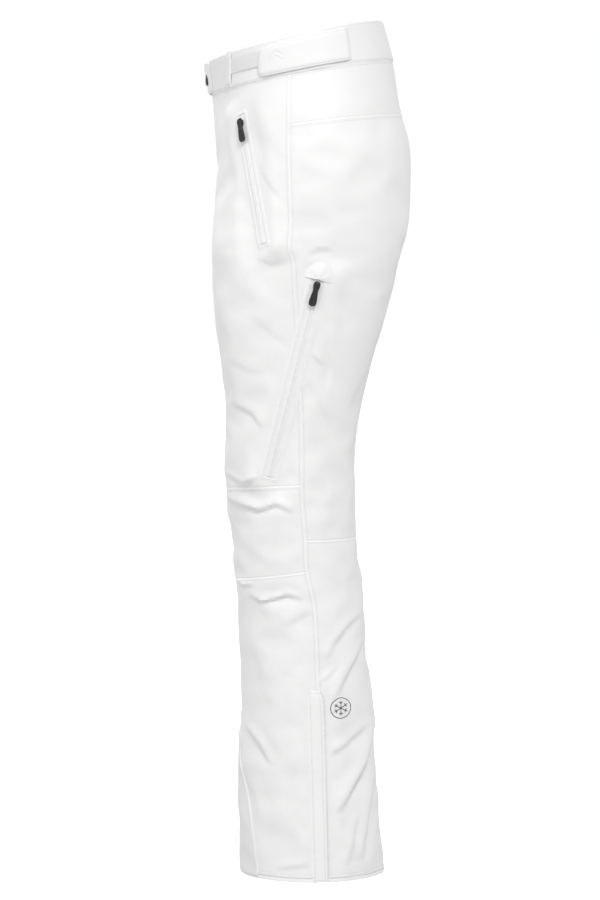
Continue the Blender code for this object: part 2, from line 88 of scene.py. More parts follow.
# the side seam's Y by height, and the knee seams' height by angle in degrees
SIDE_SEAM = (
    (0.020, -0.0086), (-0.203, -0.0086), (-0.2645, -0.0049), (-0.3085, -0.0024),
    (-0.4965, 0.0061), (-0.5777, 0.0070), (-0.620, 0.0105), (-0.660, 0.0125),
    (-0.7006, 0.0210), (-0.730, 0.0235), (-0.768, 0.0250), (-0.800, 0.0262),
    (-1.060, 0.0325),
)
KNEE_TOP = ((-95.0, -0.562), (0.0, -0.563), (45.0, -0.559), (100.0, -0.555))
KNEE_FOOT = ((-95.0, -0.668), (0.0, -0.677), (25.0, -0.674), (100.0, -0.6605))
# each zip's two ends: Y and Z on the outer side
HAND_ZIP = ((-0.0682, -0.1035), (-0.0410, -0.2540))
THIGH_ZIP = ((0.0257, -0.3035), (-0.0332, -0.5400))
HEM_ZIP = ((0.0262, -0.8080), (0.0325, -1.0400))


def smooth(table, x):
    """Cubic curve through the (x, value) rows of a table, evaluated at x."""
    rows = sorted(table)
    xs = np.array([row[0] for row in rows])
    ys = np.array([row[1] for row in rows])
    slopes = np.gradient(ys, xs)
    x = np.clip(np.asarray(x, float), xs[0], xs[-1])
    i = np.clip(np.searchsorted(xs, x) - 1, 0, len(xs) - 2)
    step = xs[i + 1] - xs[i]
    f = (x - xs[i]) / step
    return ((2 * f**3 - 3 * f**2 + 1) * ys[i] + (f**3 - 2 * f**2 + f) * step * slopes[i]
            + (3 * f**2 - 2 * f**3) * ys[i + 1] + (f**3 - f**2) * step * slopes[i + 1])


def fade(x, full, none):
    """1 up to full, 0 from none on, smooth between."""
    f = np.clip((none - x) / (none - full), 0, 1)
    return f * f * (3 - 2 * f)


def mirror(side):
    """Factors that carry the left side's coordinates to either side."""
    return np.array([side, 1, 1])


def unit(vectors):
    """The same vectors at length 1."""
    return vectors / np.maximum(np.linalg.norm(vectors, axis=-1, keepdims=True), 1e-12)


def section(h):
    """Centre Y, half depth, centre X, half width and tilt at height h."""
    front, back, centre, half, tilt = (smooth(column, h) for column in COLUMNS)
    return (front + back) / 2, (back - front) / 2, centre, half, tilt


def bare_point(t, h):
    """A point of the left side's surface before it is flattened along the zips."""
    cy, ay, cx, ax, tilt = section(h)
    x = np.maximum(cx + ax * np.sin(t), np.where(h < CROTCH_H + 0.03, 0.0004, -1.0))
    y = cy - ay * np.cos(t)
    return np.stack([x, y, h + tilt * y], axis=-1)


def angle_at(y, h):
    cy, ay = section(h)[:2]
    return np.arccos(np.clip((cy - y) / ay, -1, 1))


def locate(y, z):
    """Angle and height of the outer surface's point at this Y and Z."""
    h = z
    for _ in range(6):
        h = z - section(h)[4] * y
    return angle_at(y, h), h


class Line:
    """A straight zip line laid on the left side's surface."""

    def __init__(self, ends):
        (ya, za), (yb, zb) = ends
        first, middle, last = [locate(ya + f * (yb - ya), za + f * (zb - za))
                               for f in (0.0, 0.5, 1.0)]
        self.run(bare_point(*first), bare_point(*last))
        near = bare_point(middle[0] + 0.01, middle[1]) - bare_point(*middle)
        out = unit(np.cross(near, self.along))
        self.out = out * (1 if out[0] > 0 else -1)
        self.across = np.cross(self.out, self.along)

    def run(self, start, end):
        self.start = start
        self.length = float(np.linalg.norm(end - start))
        self.along = (end - start) / self.length

    def local(self, points):
        """Distances across, beyond the ends and out of the line's plane."""
        offset = points - self.start
        along = offset @ self.along
        beyond = np.maximum(-along, along - self.length)
        return offset @ self.across, beyond, offset @ self.out

    def sheet(self, name, side, places, thick, material, edges, closed=False):
        """A sheet over places given across, along and out in this line's frame."""
        points = self.start + sum(np.multiply.outer(distance, way) for distance, way in
                                  zip(places, (self.across, self.along, self.out)))
        normals = np.broadcast_to(self.out * mirror(side), points.shape)
        return sheet(name, points * mirror(side), normals, thick, [material], edges, closed)


class FlyLine(Line):
    """The fly zip's straight line down the centre front."""

    def __init__(self):
        top = bare_point(np.float64(0.0), np.float64(-0.0525))
        self.run(top, bare_point(front_edge(-0.178), np.float64(-0.178)) * np.array([0, 1, 1]))
        self.across = np.array([1.0, 0.0, 0.0])
        out = np.cross(self.across, self.along)
        self.out = out * (1 if out[1] < 0 else -1)


HAND, THIGH, HEM = Line(HAND_ZIP), Line(THIGH_ZIP), Line(HEM_ZIP)


def near_line(line, points, width, beyond_ends):
    """1 on a zip's strip and 0 beside it, and the points' height over the zip's plane."""
    across, beyond, height = line.local(points)
    near = fade(np.abs(across), *width) * fade(beyond, *beyond_ends)
    return near * (height > -0.05), height


def flattened(t, h):
    """Surface points, pressed flat where the zips lie."""
    points = bare_point(t, h)
    for line in (HAND, THIGH, HEM):
        near, height = near_line(line, points, (0.011, 0.042), (0.010, 0.035))
        points = points - (height * near)[..., None] * line.out
    return points


def level_surface(t, h):
    """Left side surface points and their level outward normals."""
    t, h = np.broadcast_arrays(t, h)
    step = 1e-3
    run = flattened(t + step, h) - flattened(t - step, h)
    out = unit(np.stack([-run[..., 1], run[..., 0], np.zeros_like(t)], axis=-1))
    away = out[..., 0] * np.sin(t) - out[..., 1] * np.cos(t)
    return flattened(t, h), out * np.sign(away)[..., None]


def edge_turn(h, inset):
    """How far past the side's plane an edge lies, inset from the centre plane."""
    _, _, cx, ax, _ = section(h)
    return np.arcsin(np.clip((cx - inset) / ax, -1, 1))


def front_edge(h):
    fly_half = 0.006 * fade(-h, 0.180, 0.200)
    return np.where(h > CROTCH_H, -edge_turn(h, 0.0001 + fly_half), -PI / 2)


def back_edge(h):
    return np.where(h > CROTCH_H, PI + edge_turn(h, 0.0001), 1.5 * PI)


def seam(h, shift=0.0):
    return angle_at(smooth(SIDE_SEAM, h) + shift, h)


def hem_gap(h, wide):
    """How far a panel's edge keeps from the side seam where the hem zip opens it."""
    return wide * fade(h, -0.822, -0.807)


def front_angle(u, h):
    a, b = front_edge(h), seam(h, -hem_gap(h, 0.0068))
    return a + (b - a) * u


def back_angle(u, h):
    a, b = seam(h, hem_gap(h, 0.0046)), back_edge(h)
    return a + (b - a) * u


# ---- folds and creases
# Each crease, in mm: (Y, Z) points on the outer side, its depth and its width. The fabric
# stands up on the left of the line's run and falls into a hollow on its right.
CREASES = (
    (((-88, -541), (-75, -548), (-65, -552), (-54, -545), (-42, -543)), 3.0, 4.0),
    (((-90, -573), (-68, -578), (-46, -583), (-25, -575), (-4, -585)), 5.0, 6.0),
    (((-58, -691), (-43, -697), (-31, -694), (-12, -688), (8, -693)), 4.4, 4.5),
    (((-78, -674), (-66, -680), (-55, -677)), 2.8, 4.0),
    (((-18, -725), (0, -715), (18, -704)), 1.8, 8.0),
    (((36, -768), (44, -750), (59, -731), (78, -715)), 3.6, 6.5),
    (((44, -820), (55, -799), (68, -774), (80, -750)), 4.2, 6.5),
    (((20, -803), (31, -796), (41, -787), (49, -777)), 1.8, 3.5),
    (((15, -384), (33, -405)), 1.8, 5.0),
    (((44, -357), (45.5, -412), (40.5, -446)), 1.8, 9.0),
    (((13, -412), (33, -452), (47, -480), (54, -518)), 1.1, 9.0),
    (((-79, -452), (-55, -463), (-39, -482)), 2.8, 7.0),
    (((-51, -272), (-31, -280), (-15, -275)), 1.2, 5.0),
    (((13, -268), (28, -262), (44, -262)), 1.8, 5.0),
    (((-43, -166), (-30, -186), (-15, -205)), 0.8, 5.0),
    (((-55, -340), (-30, -361), (-4, -381)), 1.0, 9.0),
    (((47, -958), (56, -946), (84, -897), (96, -848)), 8.5, 8.5),
    (((36.5, -887), (60, -874), (86, -852)), 3.6, 6.0),
    (((61, -1024), (68, -993), (73.5, -962.5)), 3.4, 6.0),
    (((78, -1020), (87, -971), (93, -928)), 6.0, 8.0),
    (((-62, -857), (-46, -875), (-31, -900)), 3.6, 6.0),
    (((-27, -1028), (-6, -1024), (16, -1020)), 1.8, 5.0),
    (((36, -919), (45, -909)), 1.3, 3.0),
    (((-83, -395), (-60, -408), (-40, -411)), 1.2, 9.0),
    (((-66, -900), (-48, -950), (-40, -990)), 1.6, 12.0),
)
RELIEF_MAX = 0.0075


def path_distance(y, z, path):
    """Signed distance from (y, z) points to a polyline, and a taper towards its ends."""
    best = np.full(np.shape(y), 1e9)
    signed = np.zeros(np.shape(y))
    place = np.zeros(np.shape(y))
    lengths = [math.dist(a, b) for a, b in zip(path, path[1:])]
    total, run = sum(lengths), 0.0
    for (a, b), length in zip(zip(path, path[1:]), lengths):
        dy, dz = (b[0] - a[0]) / length, (b[1] - a[1]) / length
        s = np.clip((y - a[0]) * dy + (z - a[1]) * dz, 0, length)
        d = np.hypot(y - a[0] - s * dy, z - a[1] - s * dz)
        right = np.sign((y - a[0]) * dz - (z - a[1]) * dy)
        closer = d < best
        best = np.where(closer, d, best)
        signed = np.where(closer, d * right, signed)
        place = np.where(closer, (run + s) / total, place)
        run += length
    return signed, np.clip(4 * place * (1 - place), 0, 1)**0.6


def creases(points, outness):
    """Folds that stand up on one side of their line and fall away sharply on the other."""
    total = np.zeros(points.shape[:-1])
    for path, depth, width in CREASES:
        signed, taper = path_distance(points[..., 1] / MM, points[..., 2] / MM, path)
        x = signed / width
        crest = 0.6 * np.exp(-(np.minimum(x, 0) / 1.2)**2)
        fall = 0.6 - 1.2 * (1 - fade(x, 0, 1))
        back = -0.6 * np.exp(-np.maximum(x - 1, 0) / 1.3)
        profile = np.where(x < 0, crest, np.where(x < 1, fall, back))
        total += profile * taper * np.exp(-(x / 4.5)**2) * depth * MM
    return total * np.clip((outness + 0.35) * 2.5, 0, 1)


def waves(points, size, seed, stretch=(1, 1, 1), count=10):
    """A smooth random field about one in size: sums of plane waves."""
    rng = np.random.default_rng(seed)
    total = np.zeros(points.shape[:-1])
    for _ in range(count):
        direction = unit(rng.normal(size=3))
        scale = 2 * PI / size * rng.uniform(0.6, 1.5)
        total += np.sin(points @ (direction * scale * np.array(stretch)) + rng.uniform(0, 2 * PI))
    return total / math.sqrt(count)


def zip_clear(points):
    """0 on the flat strips under the zips, 1 away from them."""
    keep = np.ones(points.shape[:-1])
    for line in (HAND, THIGH, HEM):
        keep *= 1 - near_line(line, points, (0.0095, 0.022), (0.004, 0.016))[0]
    return keep


def swell_at(side, t, h):
    """The simulated cloth's offset at an angle and a height, between grid points."""
    grid = SWELL[side]
    first, last = front_edge(h), back_edge(h)
    t = np.where(t < first - 1e-6, t + 2 * PI, t)
    col = np.clip((t - first) / (last - first), 0, 1) * (SIM_COLS - 1)
    row = np.clip((BAND_H - h) / (BAND_H - HEM_H), 0, 1) * (SIM_ROWS - 1)
    c = np.minimum(col.astype(int), SIM_COLS - 2)
    r = np.minimum(row.astype(int), SIM_ROWS - 2)
    fc, fr = col - c, row - r
    return ((grid[r, c] * (1 - fc) + grid[r, c + 1] * fc) * (1 - fr)
            + (grid[r + 1, c] * (1 - fc) + grid[r + 1, c + 1] * fc) * fr)


def relief(side, t, h, points, normals):
    """How far the fabric stands off the plain surface, in metres."""
    seed = 11 if side > 0 else 29
    z = points[..., 2]
    soft = 0.5 * waves(points, 0.17, seed, (1, 1, 0.55))
    gather = fade(np.abs(z + 0.62), 0.03, 0.16) + 0.8 * fade(np.abs(z + 0.90), 0.05, 0.22)
    gather += 0.5 * fade(np.abs(z + 0.27), 0.02, 0.10)
    fine = 0.30 * waves(points, 0.055, seed + 1, (1, 1, 1.9)) * (0.2 + gather)
    inner = np.clip(0.4 - normals[..., 0], 0, 1)
    folds = 0.9 * waves(points, 0.075, seed + 2, (1, 1, 1.4)) * inner * (0.3 + gather)
    total = (soft + fine + folds) * MM + 0.6 * swell_at(side, t, h)
    total += creases(points, normals[..., 0])
    total *= 1 - fade(np.abs(points[..., 0]), 0.002, 0.014) * fade(CROTCH_H - h, 0.0, 0.02)
    below_waist = 0.25 + 0.75 * fade(h - BAND_H, -0.09, -0.01)
    return np.clip(total, -RELIEF_MAX, RELIEF_MAX) * zip_clear(points) * below_waist


def mesh_object(name, vertices, faces, material=None):
    mesh = bpy.data.meshes.new(name)
    mesh.from_pydata([tuple(v) for v in np.asarray(vertices)], [], faces)
    mesh.validate()
    mesh.polygons.foreach_set("use_smooth", [True] * len(mesh.polygons))
    if material:
        mesh.materials.append(material)
    obj = bpy.data.objects.new(name, mesh)
    bpy.context.scene.collection.objects.link(obj)
    return obj


def dress(obj, slot, body=None, *nodes):
    """Attaches a piece to the body it rides and hides the nodes it stands in for; slot is not used.
    """
    if body:
        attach(obj, body)
    if nodes:
        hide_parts(*nodes)
    return obj


# ---- cloth simulation
SIM_ROWS, SIM_COLS = 190, 120
SIM_FRAMES = 18
SIM_CAP = 0.0022
PIN_LEVELS = 20
CLOTH = {"quality": 6, "mass": 0.25, "tension_stiffness": 18, "compression_stiffness": 18,
         "shear_stiffness": 8, "bending_stiffness": 5.0, "shrink_min": -0.010,
         "use_pressure": True, "uniform_pressure_force": 1.0, "vertex_group_mass": "held",
         "pin_stiffness": 2.0}


def grid_faces(rows, cols, closed=False):
    """Quads between the points of a grid, row after row."""
    return [(r * cols + c, r * cols + (c + 1) % cols, (r + 1) * cols + (c + 1) % cols,
             (r + 1) * cols + c)
            for r in range(rows - 1) for c in range(cols if closed else cols - 1)]


def held_weights(points, t, h):
    """1 on the lines where the fabric is sewn down, 0 well away from them."""
    def near(distance, reach=0.007):
        return np.exp(-(distance / reach)**2)
    weight = near(h - BAND_H, 0.012) + near(h - HEM_H, 0.012)
    for edge in (front_edge(h), back_edge(h), seam(h)):
        weight += near((t - edge) * 0.09)
    degrees = np.minimum(np.degrees(t), 100)
    front = t < seam(h)
    for knee in (KNEE_TOP, KNEE_FOOT):
        weight += near(h - smooth(knee, degrees)) * front
    weight += (near(h - BACK_KNEE_H) + near(h - YOKE_H)) * ~front
    return np.clip(weight + 1.0 - zip_clear(points), 0, 1)


def simulated_swell(seed):
    """Cloth held along its seams and slightly blown: its offset on a grid over one side."""
    h = np.linspace(BAND_H, HEM_H, SIM_ROWS)[:, None]
    share = np.linspace(0, 1, SIM_COLS)[None, :]
    t = front_edge(h) + (back_edge(h) - front_edge(h)) * share
    h = np.broadcast_to(h, t.shape)
    points, out = level_surface(t, h)
    start = points + out * (0.0008 * waves(points, 0.05, seed, (1, 1, 1.5)))[..., None]
    obj = mesh_object("sim_sheet", start.reshape(-1, 3), grid_faces(SIM_ROWS, SIM_COLS))
    facing = np.cross(points[0, 1] - points[0, 0], points[1, 0] - points[0, 0]) @ out[0, 0]
    if facing < 0:
        obj.data.flip_normals()
    levels = np.round(held_weights(points, t, h).ravel() * PIN_LEVELS).astype(int)
    group = obj.vertex_groups.new(name="held")
    for level_number in range(1, PIN_LEVELS + 1):
        chosen = np.flatnonzero(levels == level_number)
        if len(chosen):
            group.add([int(i) for i in chosen], level_number / PIN_LEVELS, "REPLACE")
    settings = obj.modifiers.new("Cloth", "CLOTH").settings
    for key, value in CLOTH.items():
        setattr(settings, key, value)
    settings.effector_weights.gravity = 0.0
    scene = bpy.context.scene
    for frame_number in range(1, SIM_FRAMES + 1):
        scene.frame_set(frame_number)
    moved = obj.evaluated_get(bpy.context.evaluated_depsgraph_get())
    places = np.array([v.co for v in moved.data.vertices]).reshape(points.shape)
    offset = np.nan_to_num(np.sum((places - points) * out, axis=-1))
    scene.frame_set(1)
    bpy.data.objects.remove(obj, do_unlink=True)
    for _ in range(2):
        padded = np.pad(offset, 1, mode="edge")
        offset = (4 * offset + padded[:-2, 1:-1] + padded[2:, 1:-1] + padded[1:-1, :-2]
                  + padded[1:-1, 2:]) / 8
    return SIM_CAP * np.tanh((offset - np.median(offset)) / SIM_CAP)


# ---- sheets
SHELL_THICK = 0.0022
PANEL_STEP = 0.0029
PANEL_CLOSE = (0.0007, 0.0014, 0.0023, 0.0036, 0.0055)
TRIM_CLOSE = (0.0006, 0.0016, 0.0032)
HEM_STITCHES = (0.0048, 0.0088)
BESIDE_STITCH = (-0.0012, -0.0005, 0.0, 0.0005, 0.0012)
FAR = 0.5


def spaced(length, seams, step, close):
    """Shares of a length in even steps, closer beside the ends that are seams."""
    inner = list(np.linspace(0, length, max(2, int(round(length / step)) + 1)))
    extra = []
    for at_end, has in zip((0, 1), seams):
        if has:
            extra += [abs(at_end * length - d) for d in close]
    places = sorted(set([p for p in inner if all(abs(p - e) > 0.0012 for e in extra)] + extra
                        + [0.0, length]))
    return np.array(places) / length


def shares(close, first, count):
    """Shares from 0 to 1: even from first on, with the close ones at both ends."""
    close = np.array(close)
    return np.concatenate([close, np.linspace(first, 1 - first, count), 1 - close[::-1]])


def distance_along(points, axis):
    """Running distance from a grid's first points, along one of its axes."""
    steps = np.cumsum(np.linalg.norm(np.diff(points, axis=axis), axis=-1), axis=axis)
    return np.concatenate([np.zeros_like(np.take(steps, [0], axis)), steps], axis)


def to_edges(run, total, sewn):
    """Distance along a run to the nearer of its sewn ends."""
    return np.minimum(run if sewn[0] else FAR, total - run if sewn[1] else FAR)


def grid_cross(points):
    """Cross product of a grid's runs across and down, at each point."""
    return np.cross(np.gradient(points, axis=1), np.gradient(points, axis=0))


def sheet(name, points, normals, thick, materials, edges, closed=False, shade=None):
    """A fabric sheet from a grid of points: outer face, inner face and rims.

    edges says which sides are sewn edges: left, right, top and foot. Two UV maps in
    metres carry the weave's run and the distances to the sewn edges.
    """
    rows, cols = points.shape[:2]
    count = rows * cols
    outer = grid_faces(rows, cols, closed)
    faces = outer + [tuple(count + i for i in reversed(f)) for f in outer]
    top, foot = list(range(cols)), list(range(count - cols, count))
    rims = [top[::-1], foot]
    if closed:
        rims = [[top[0]] + top[::-1], foot + [foot[0]]]
    else:
        rims += [list(range(0, count, cols)), list(range(cols - 1, count, cols))[::-1]]
    for rim in rims:
        faces += [(a, b, b + count, a + count) for a, b in zip(rim, rim[1:])]
    inner = points - normals * thick
    obj = mesh_object(name, np.vstack([points.reshape(-1, 3), inner.reshape(-1, 3)]), faces)
    mesh = obj.data
    if np.mean(np.sum(grid_cross(points) * normals, axis=-1)) < 0:
        mesh.flip_normals()
    around, down = distance_along(points, 1), distance_along(points, 0)
    side_edge = to_edges(around, around[:, -1:], edges[:2]) * np.ones_like(around)
    level_edge = to_edges(down, down[-1:], edges[2:]) * np.ones_like(down)
    index = np.zeros(len(mesh.loops), np.int64)
    mesh.loops.foreach_get("vertex_index", index)
    for uv_name, u, v in (("Weave", around, down), ("Edge", side_edge, level_edge)):
        layer = mesh.uv_layers.new(name=uv_name)
        values = np.stack([u.ravel(), v.ravel()], axis=-1)[index % count]
        layer.data.foreach_set("uv", values.astype(np.float32).ravel())
    for material in materials:
        mesh.materials.append(material)
    if len(materials) > 1:
        slots = [0] * len(outer) + [1] * len(outer) + [0] * (len(faces) - 2 * len(outer))
        mesh.polygons.foreach_set("material_index", slots)
    if shade is None:
        mesh.set_sharp_from_angle(angle=math.radians(48))
    else:
        both = np.concatenate([shade.reshape(-1, 3), -shade.reshape(-1, 3)])
        mesh.normals_split_custom_set_from_vertices([tuple(n) for n in both])
    return obj


def lay(name, surface, lift, flip, thick, materials, edges=SEWN, closed=False):
    """A sheet at a lift over surface points and normals, carried to its side by flip."""
    points, out = surface
    return sheet(name, (points + out * lift[..., None]) * flip, out * flip, thick, materials,
                 edges, closed)


def seam_profile(near):
    """A taut ridge on the seam and a slight hollow beside it."""
    return 0.00028 * np.exp(-(near / 0.0009)**2) - 0.0002 * np.exp(-((near - 0.0022) / 0.0011)**2)


def patch_width(angle, top, foot, samples):
    """Length of a patch's level line at mid height."""
    middle = np.array([0.5])
    mid = (float(np.mean(top(middle))) + float(np.mean(foot(middle)))) / 2
    line, _ = level_surface(angle(np.linspace(0, 1, samples), mid), mid)
    return float(np.linalg.norm(np.diff(line, axis=0), axis=-1).sum())


def hem_relief(rise, down, near_side):
    """A turned and twice stitched hem, with small puckers beside the zip."""
    lift = 0.0006 * fade(rise, 0.0088, 0.0100) - 0.0007 * np.exp(-(rise / 0.0012)**2)
    for row in HEM_STITCHES:
        lift -= 0.0010 * np.exp(-((rise - row) / 0.0006)**2)
    pucker = 0.0004 * np.sin(down / 0.0011) * np.exp(-near_side / 0.005)
    return lift + pucker * fade(np.abs(down - 0.20), 0.03, 0.10)


def panel(side, name, angle, top, foot, edges, hem):
    """One shell panel between two height curves; angle(u, h) gives its angles."""
    u = spaced(patch_width(angle, top, foot, 30), edges[:2], PANEL_STEP, PANEL_CLOSE)
    height = float(np.mean(top(u)) - np.mean(foot(u)))
    v = spaced(height, edges[2:], PANEL_STEP, PANEL_CLOSE)
    if hem:
        rows = 1 - np.add.outer(HEM_STITCHES, BESIDE_STITCH).ravel() / height
        v = np.array(sorted(set(v[(v < rows[-1] - 0.003) | (v > 0.9985)]) | set(rows)))
    if not edges[3]:
        v = np.append(v, 1 + 0.003 / height)
    if not edges[2]:
        v = np.insert(v, 0, -0.003 / height)
    uu, vv = np.meshgrid(u, v)
    h = top(uu) + (foot(uu) - top(uu)) * vv
    points, out = level_surface(angle(uu, h), h)
    around, down = distance_along(points, 1), vv * height
    near_side = to_edges(around, around[:, -1:], edges[:2])
    near_level = to_edges(down, height, edges[2:])
    near = np.minimum(near_side, near_level)
    lift = relief(side, angle(uu, h), h, points, out) + seam_profile(near)
    along = np.where(near_side < near_level, down, around)
    lift += 0.0002 * np.exp(-near / 0.008) * np.sin(along / 0.0042 + 3 * np.sin(along / 0.021))
    if hem:
        lift += hem_relief(height - down, down, near_side)
    final = points + out * lift[..., None]
    x = final[..., 0]
    final[..., 0] = np.where(h > CROTCH_H, x - 0.0012 * np.exp(-(x / 0.003)**2),
                             np.maximum(x, 0.0006))
    normal = unit(grid_cross(final))
    normal *= np.sign(np.sum(normal * out, axis=-1, keepdims=True))
    keep = slice(0 if edges[2] else 1, len(v) if edges[3] else len(v) - 1)
    final, out, normal = (part[keep] * mirror(side) for part in (final, out, normal))
    obj = sheet(name, final, out, SHELL_THICK, [SHELL_HEM if hem else SHELL, LINING], edges,
                shade=None if edges[2] and edges[3] else normal)
    return dress(obj, "shell_fabric")


# ---- materials
STITCH_PITCH = 0.0032
SEAM_STITCH, TAB_STITCH = 0.0030, 0.0028


class Nodes:
    """Short calls for building one material's node tree."""

    def __init__(self, name):
        self.material = bpy.data.materials.new(name)
        self.material.use_nodes = True
        self.tree = self.material.node_tree
        self.shader = self.tree.nodes["Principled BSDF"]

    def put(self, socket, value):
        """Links an output to a socket or sets a constant; a tuple is a colour."""
        if hasattr(value, "is_output"):
            self.tree.links.new(value, socket)
        else:
            socket.default_value = (*value, 1.0) if isinstance(value, tuple) else value

    def node(self, kind, inputs, output=0, **settings):
        """A new node with these inputs; returns one of its outputs."""
        made = self.tree.nodes.new("ShaderNode" + kind)
        for key, value in settings.items():
            setattr(made, key, value)
        for key, value in inputs.items():
            self.put(made.inputs[key], value)
        return made.outputs[output]

    def math(self, operation, *values):
        return self.node("Math", dict(enumerate(values)), operation=operation)

    def ripple(self, run, pitch):
        return self.math("SINE", self.math("MULTIPLY", run, 2 * PI / pitch))

    def uv(self, name):
        place = self.node("UVMap", {}, uv_map=name)
        return [self.node("SeparateXYZ", {0: place}, axis) for axis in (0, 1)]

    def noise(self, scale, detail=2.0, rough=0.5):
        coords = self.node("TexCoord", {}, "Object")
        return self.node("TexNoise", {"Scale": scale, "Detail": detail, "Roughness": rough,
                                      "Vector": coords})

    def mix(self, factor, low, high):
        return self.node("Mix", {0: factor, 6: low, 7: high}, 2, data_type="RGBA")

    def span(self, *limits):
        """Maps a value from one range to another; without the last two limits, to 0 to 1."""
        return self.node("MapRange", dict(enumerate(limits)))

    def bump(self, height, distance, strength=1.0, normal=None):
        more = {} if normal is None else {"Normal": normal}
        return self.node("Bump", {"Height": height, "Distance": distance,
                                  "Strength": strength, **more})

    def finish(self, colour, roughness, **constants):
        """The finished material, with the shader's other inputs by name."""
        for key, value in {"Base_Color": colour, "Roughness": roughness, **constants}.items():
            self.put(self.shader.inputs[key.replace("_", " ")], value)
        return self.material


def scaled(colour, factor, more=0.0):
    return tuple(c * factor + more for c in colour)


def stitch_mask(n, side_row, level_rows, below):
    """1 on the stitches: a row beside the side edges and rows beside the level edges.

    The level rows start at a distance below the sheet's top edge.
    """
    run_u, run_v = n.uv("Weave")
    edge_u, edge_v = n.uv("Edge")
    total = None
    for edge, run, distances, first in ((edge_u, run_v, (side_row,), 0.0),
                                        (edge_v, run_u, level_rows, below)):
        dash = n.span(n.ripple(run, STITCH_PITCH), -0.75, -0.35)
        for distance in distances:
            off = n.math("ABSOLUTE", n.math("SUBTRACT", edge, distance))
            row = n.math("MULTIPLY", n.span(off, 0.0006, 0.0002), dash)
            if first:
                row = n.math("MULTIPLY", row, n.math("GREATER_THAN", run_v, first))
            total = row if total is None else n.math("MAXIMUM", total, row)
    return total


def shell_material(name, colour=(0.830, 0.826, 0.824), deep=(0.54, 0.54, 0.55),
                   side_row=SEAM_STITCH, level_rows=(SEAM_STITCH,), below=0.0, weave=0.35,
                   rough=0.62):
    """Tight matte shell fabric with a fine twill, stitching and a painted highlight along the sewn
    edges.
    """
    n = Nodes(name)
    run_u, run_v = n.uv("Weave")
    twill = n.ripple(n.math("ADD", run_u, run_v), 0.0011)
    cross = n.ripple(n.math("SUBTRACT", run_u, run_v), 0.0011 / 0.45)
    cloudy = n.noise(14.0, 3.0)
    grain = n.noise(900.0)
    stitches = stitch_mask(n, side_row, level_rows, below)
    # painted highlight: the sewn edges are made paler, as if light caught the raised seam ridge
    seam_highlight = n.span(n.math("MINIMUM", *n.uv("Edge")), 0.0005, 0.0012, 1.0, 0.0)
    shade = n.mix(n.span(cloudy, 0.3, 0.7), scaled(colour, 0.972), colour)
    for mask, amount, tone in ((n.span(grain, 0.35, 0.65), 0.10, deep),
                               (seam_highlight, 0.6, scaled(colour, 1.05)),
                               (stitches, 0.4, scaled(colour, 0.86))):
        shade = n.mix(n.math("MULTIPLY", mask, amount), shade, tone)
    normal = n.bump(n.math("ADD", twill, n.math("MULTIPLY", cross, 0.4)), 0.00004, weave)
    normal = n.bump(grain, 0.00012, 0.35, normal)
    normal = n.bump(n.noise(170.0, 3.0), 0.0005, 0.30, normal)
    normal = n.bump(stitches, 0.0004, 0.7, normal)
    roughness = n.span(cloudy, 0.3, 0.7, rough - 0.04, rough + 0.06)
    return n.finish(shade, roughness, Normal=normal, Sheen_Weight=0.12, Sheen_Roughness=0.4,
                    Specular_IOR_Level=0.35)


def plastic_material(name, colour, rough, bumpy=0.0002):
    """Moulded rubber or enamel, mottled and slightly worn."""
    n = Nodes(name)
    wear = n.noise(60.0, 4.0)
    shade = n.mix(n.span(wear, 0.35, 0.75), colour, scaled(colour, 1.7, 0.006))
    normal = n.bump(n.noise(450.0, 3.0), bumpy, 0.25)
    return n.finish(shade, n.span(wear, 0.3, 0.7, rough - 0.06, rough + 0.1), Normal=normal)


def lining_material():
    """Thin ribbed taffeta."""
    n = Nodes("lining taffeta")
    rib = n.ripple(n.uv("Weave")[1], 0.0016)
    shade = n.mix(n.span(n.noise(20.0, 3.0), 0.3, 0.7), (0.66, 0.67, 0.69), (0.72, 0.73, 0.75))
    normal = n.bump(n.noise(90.0, 3.0), 0.0008, 0.4, n.bump(rib, 0.00005, 0.4))
    return n.finish(shade, 0.42, Normal=normal, Sheen_Weight=0.2)


def pile_material():
    """Brushed loop cloth that the adjuster's hooks hold."""
    n = Nodes("loop pile")
    fuzz = n.noise(2600.0, 4.0, rough=0.8)
    cloudy = n.noise(160.0, 3.0)
    shade = n.mix(n.span(fuzz, 0.3, 0.7), (0.66, 0.66, 0.665), (0.84, 0.84, 0.84))
    shade = n.mix(n.math("MULTIPLY", n.span(cloudy, 0.35, 0.65), 0.4), shade, (0.77, 0.77, 0.775))
    normal = n.bump(fuzz, 0.0006, 0.8, n.bump(cloudy, 0.0008, 0.4))
    return n.finish(shade, 0.95, Normal=normal, Sheen_Weight=0.5, Sheen_Roughness=0.6)


def tape_material(name, low, high):
    """Coated zip tape: fine ribs across, slightly glossier than the shell."""
    n = Nodes(name)
    ribs = n.ripple(n.uv("Weave")[1], 0.0009)
    cloudy = n.noise(120.0, 3.0)
    shade = n.mix(n.span(cloudy, 0.3, 0.7), low, high)
    normal = n.bump(ribs, 0.00005, 0.6, n.bump(cloudy, 0.0003, 0.3))
    return n.finish(shade, 0.45, Normal=normal, Coat_Weight=0.15, Coat_Roughness=0.35)


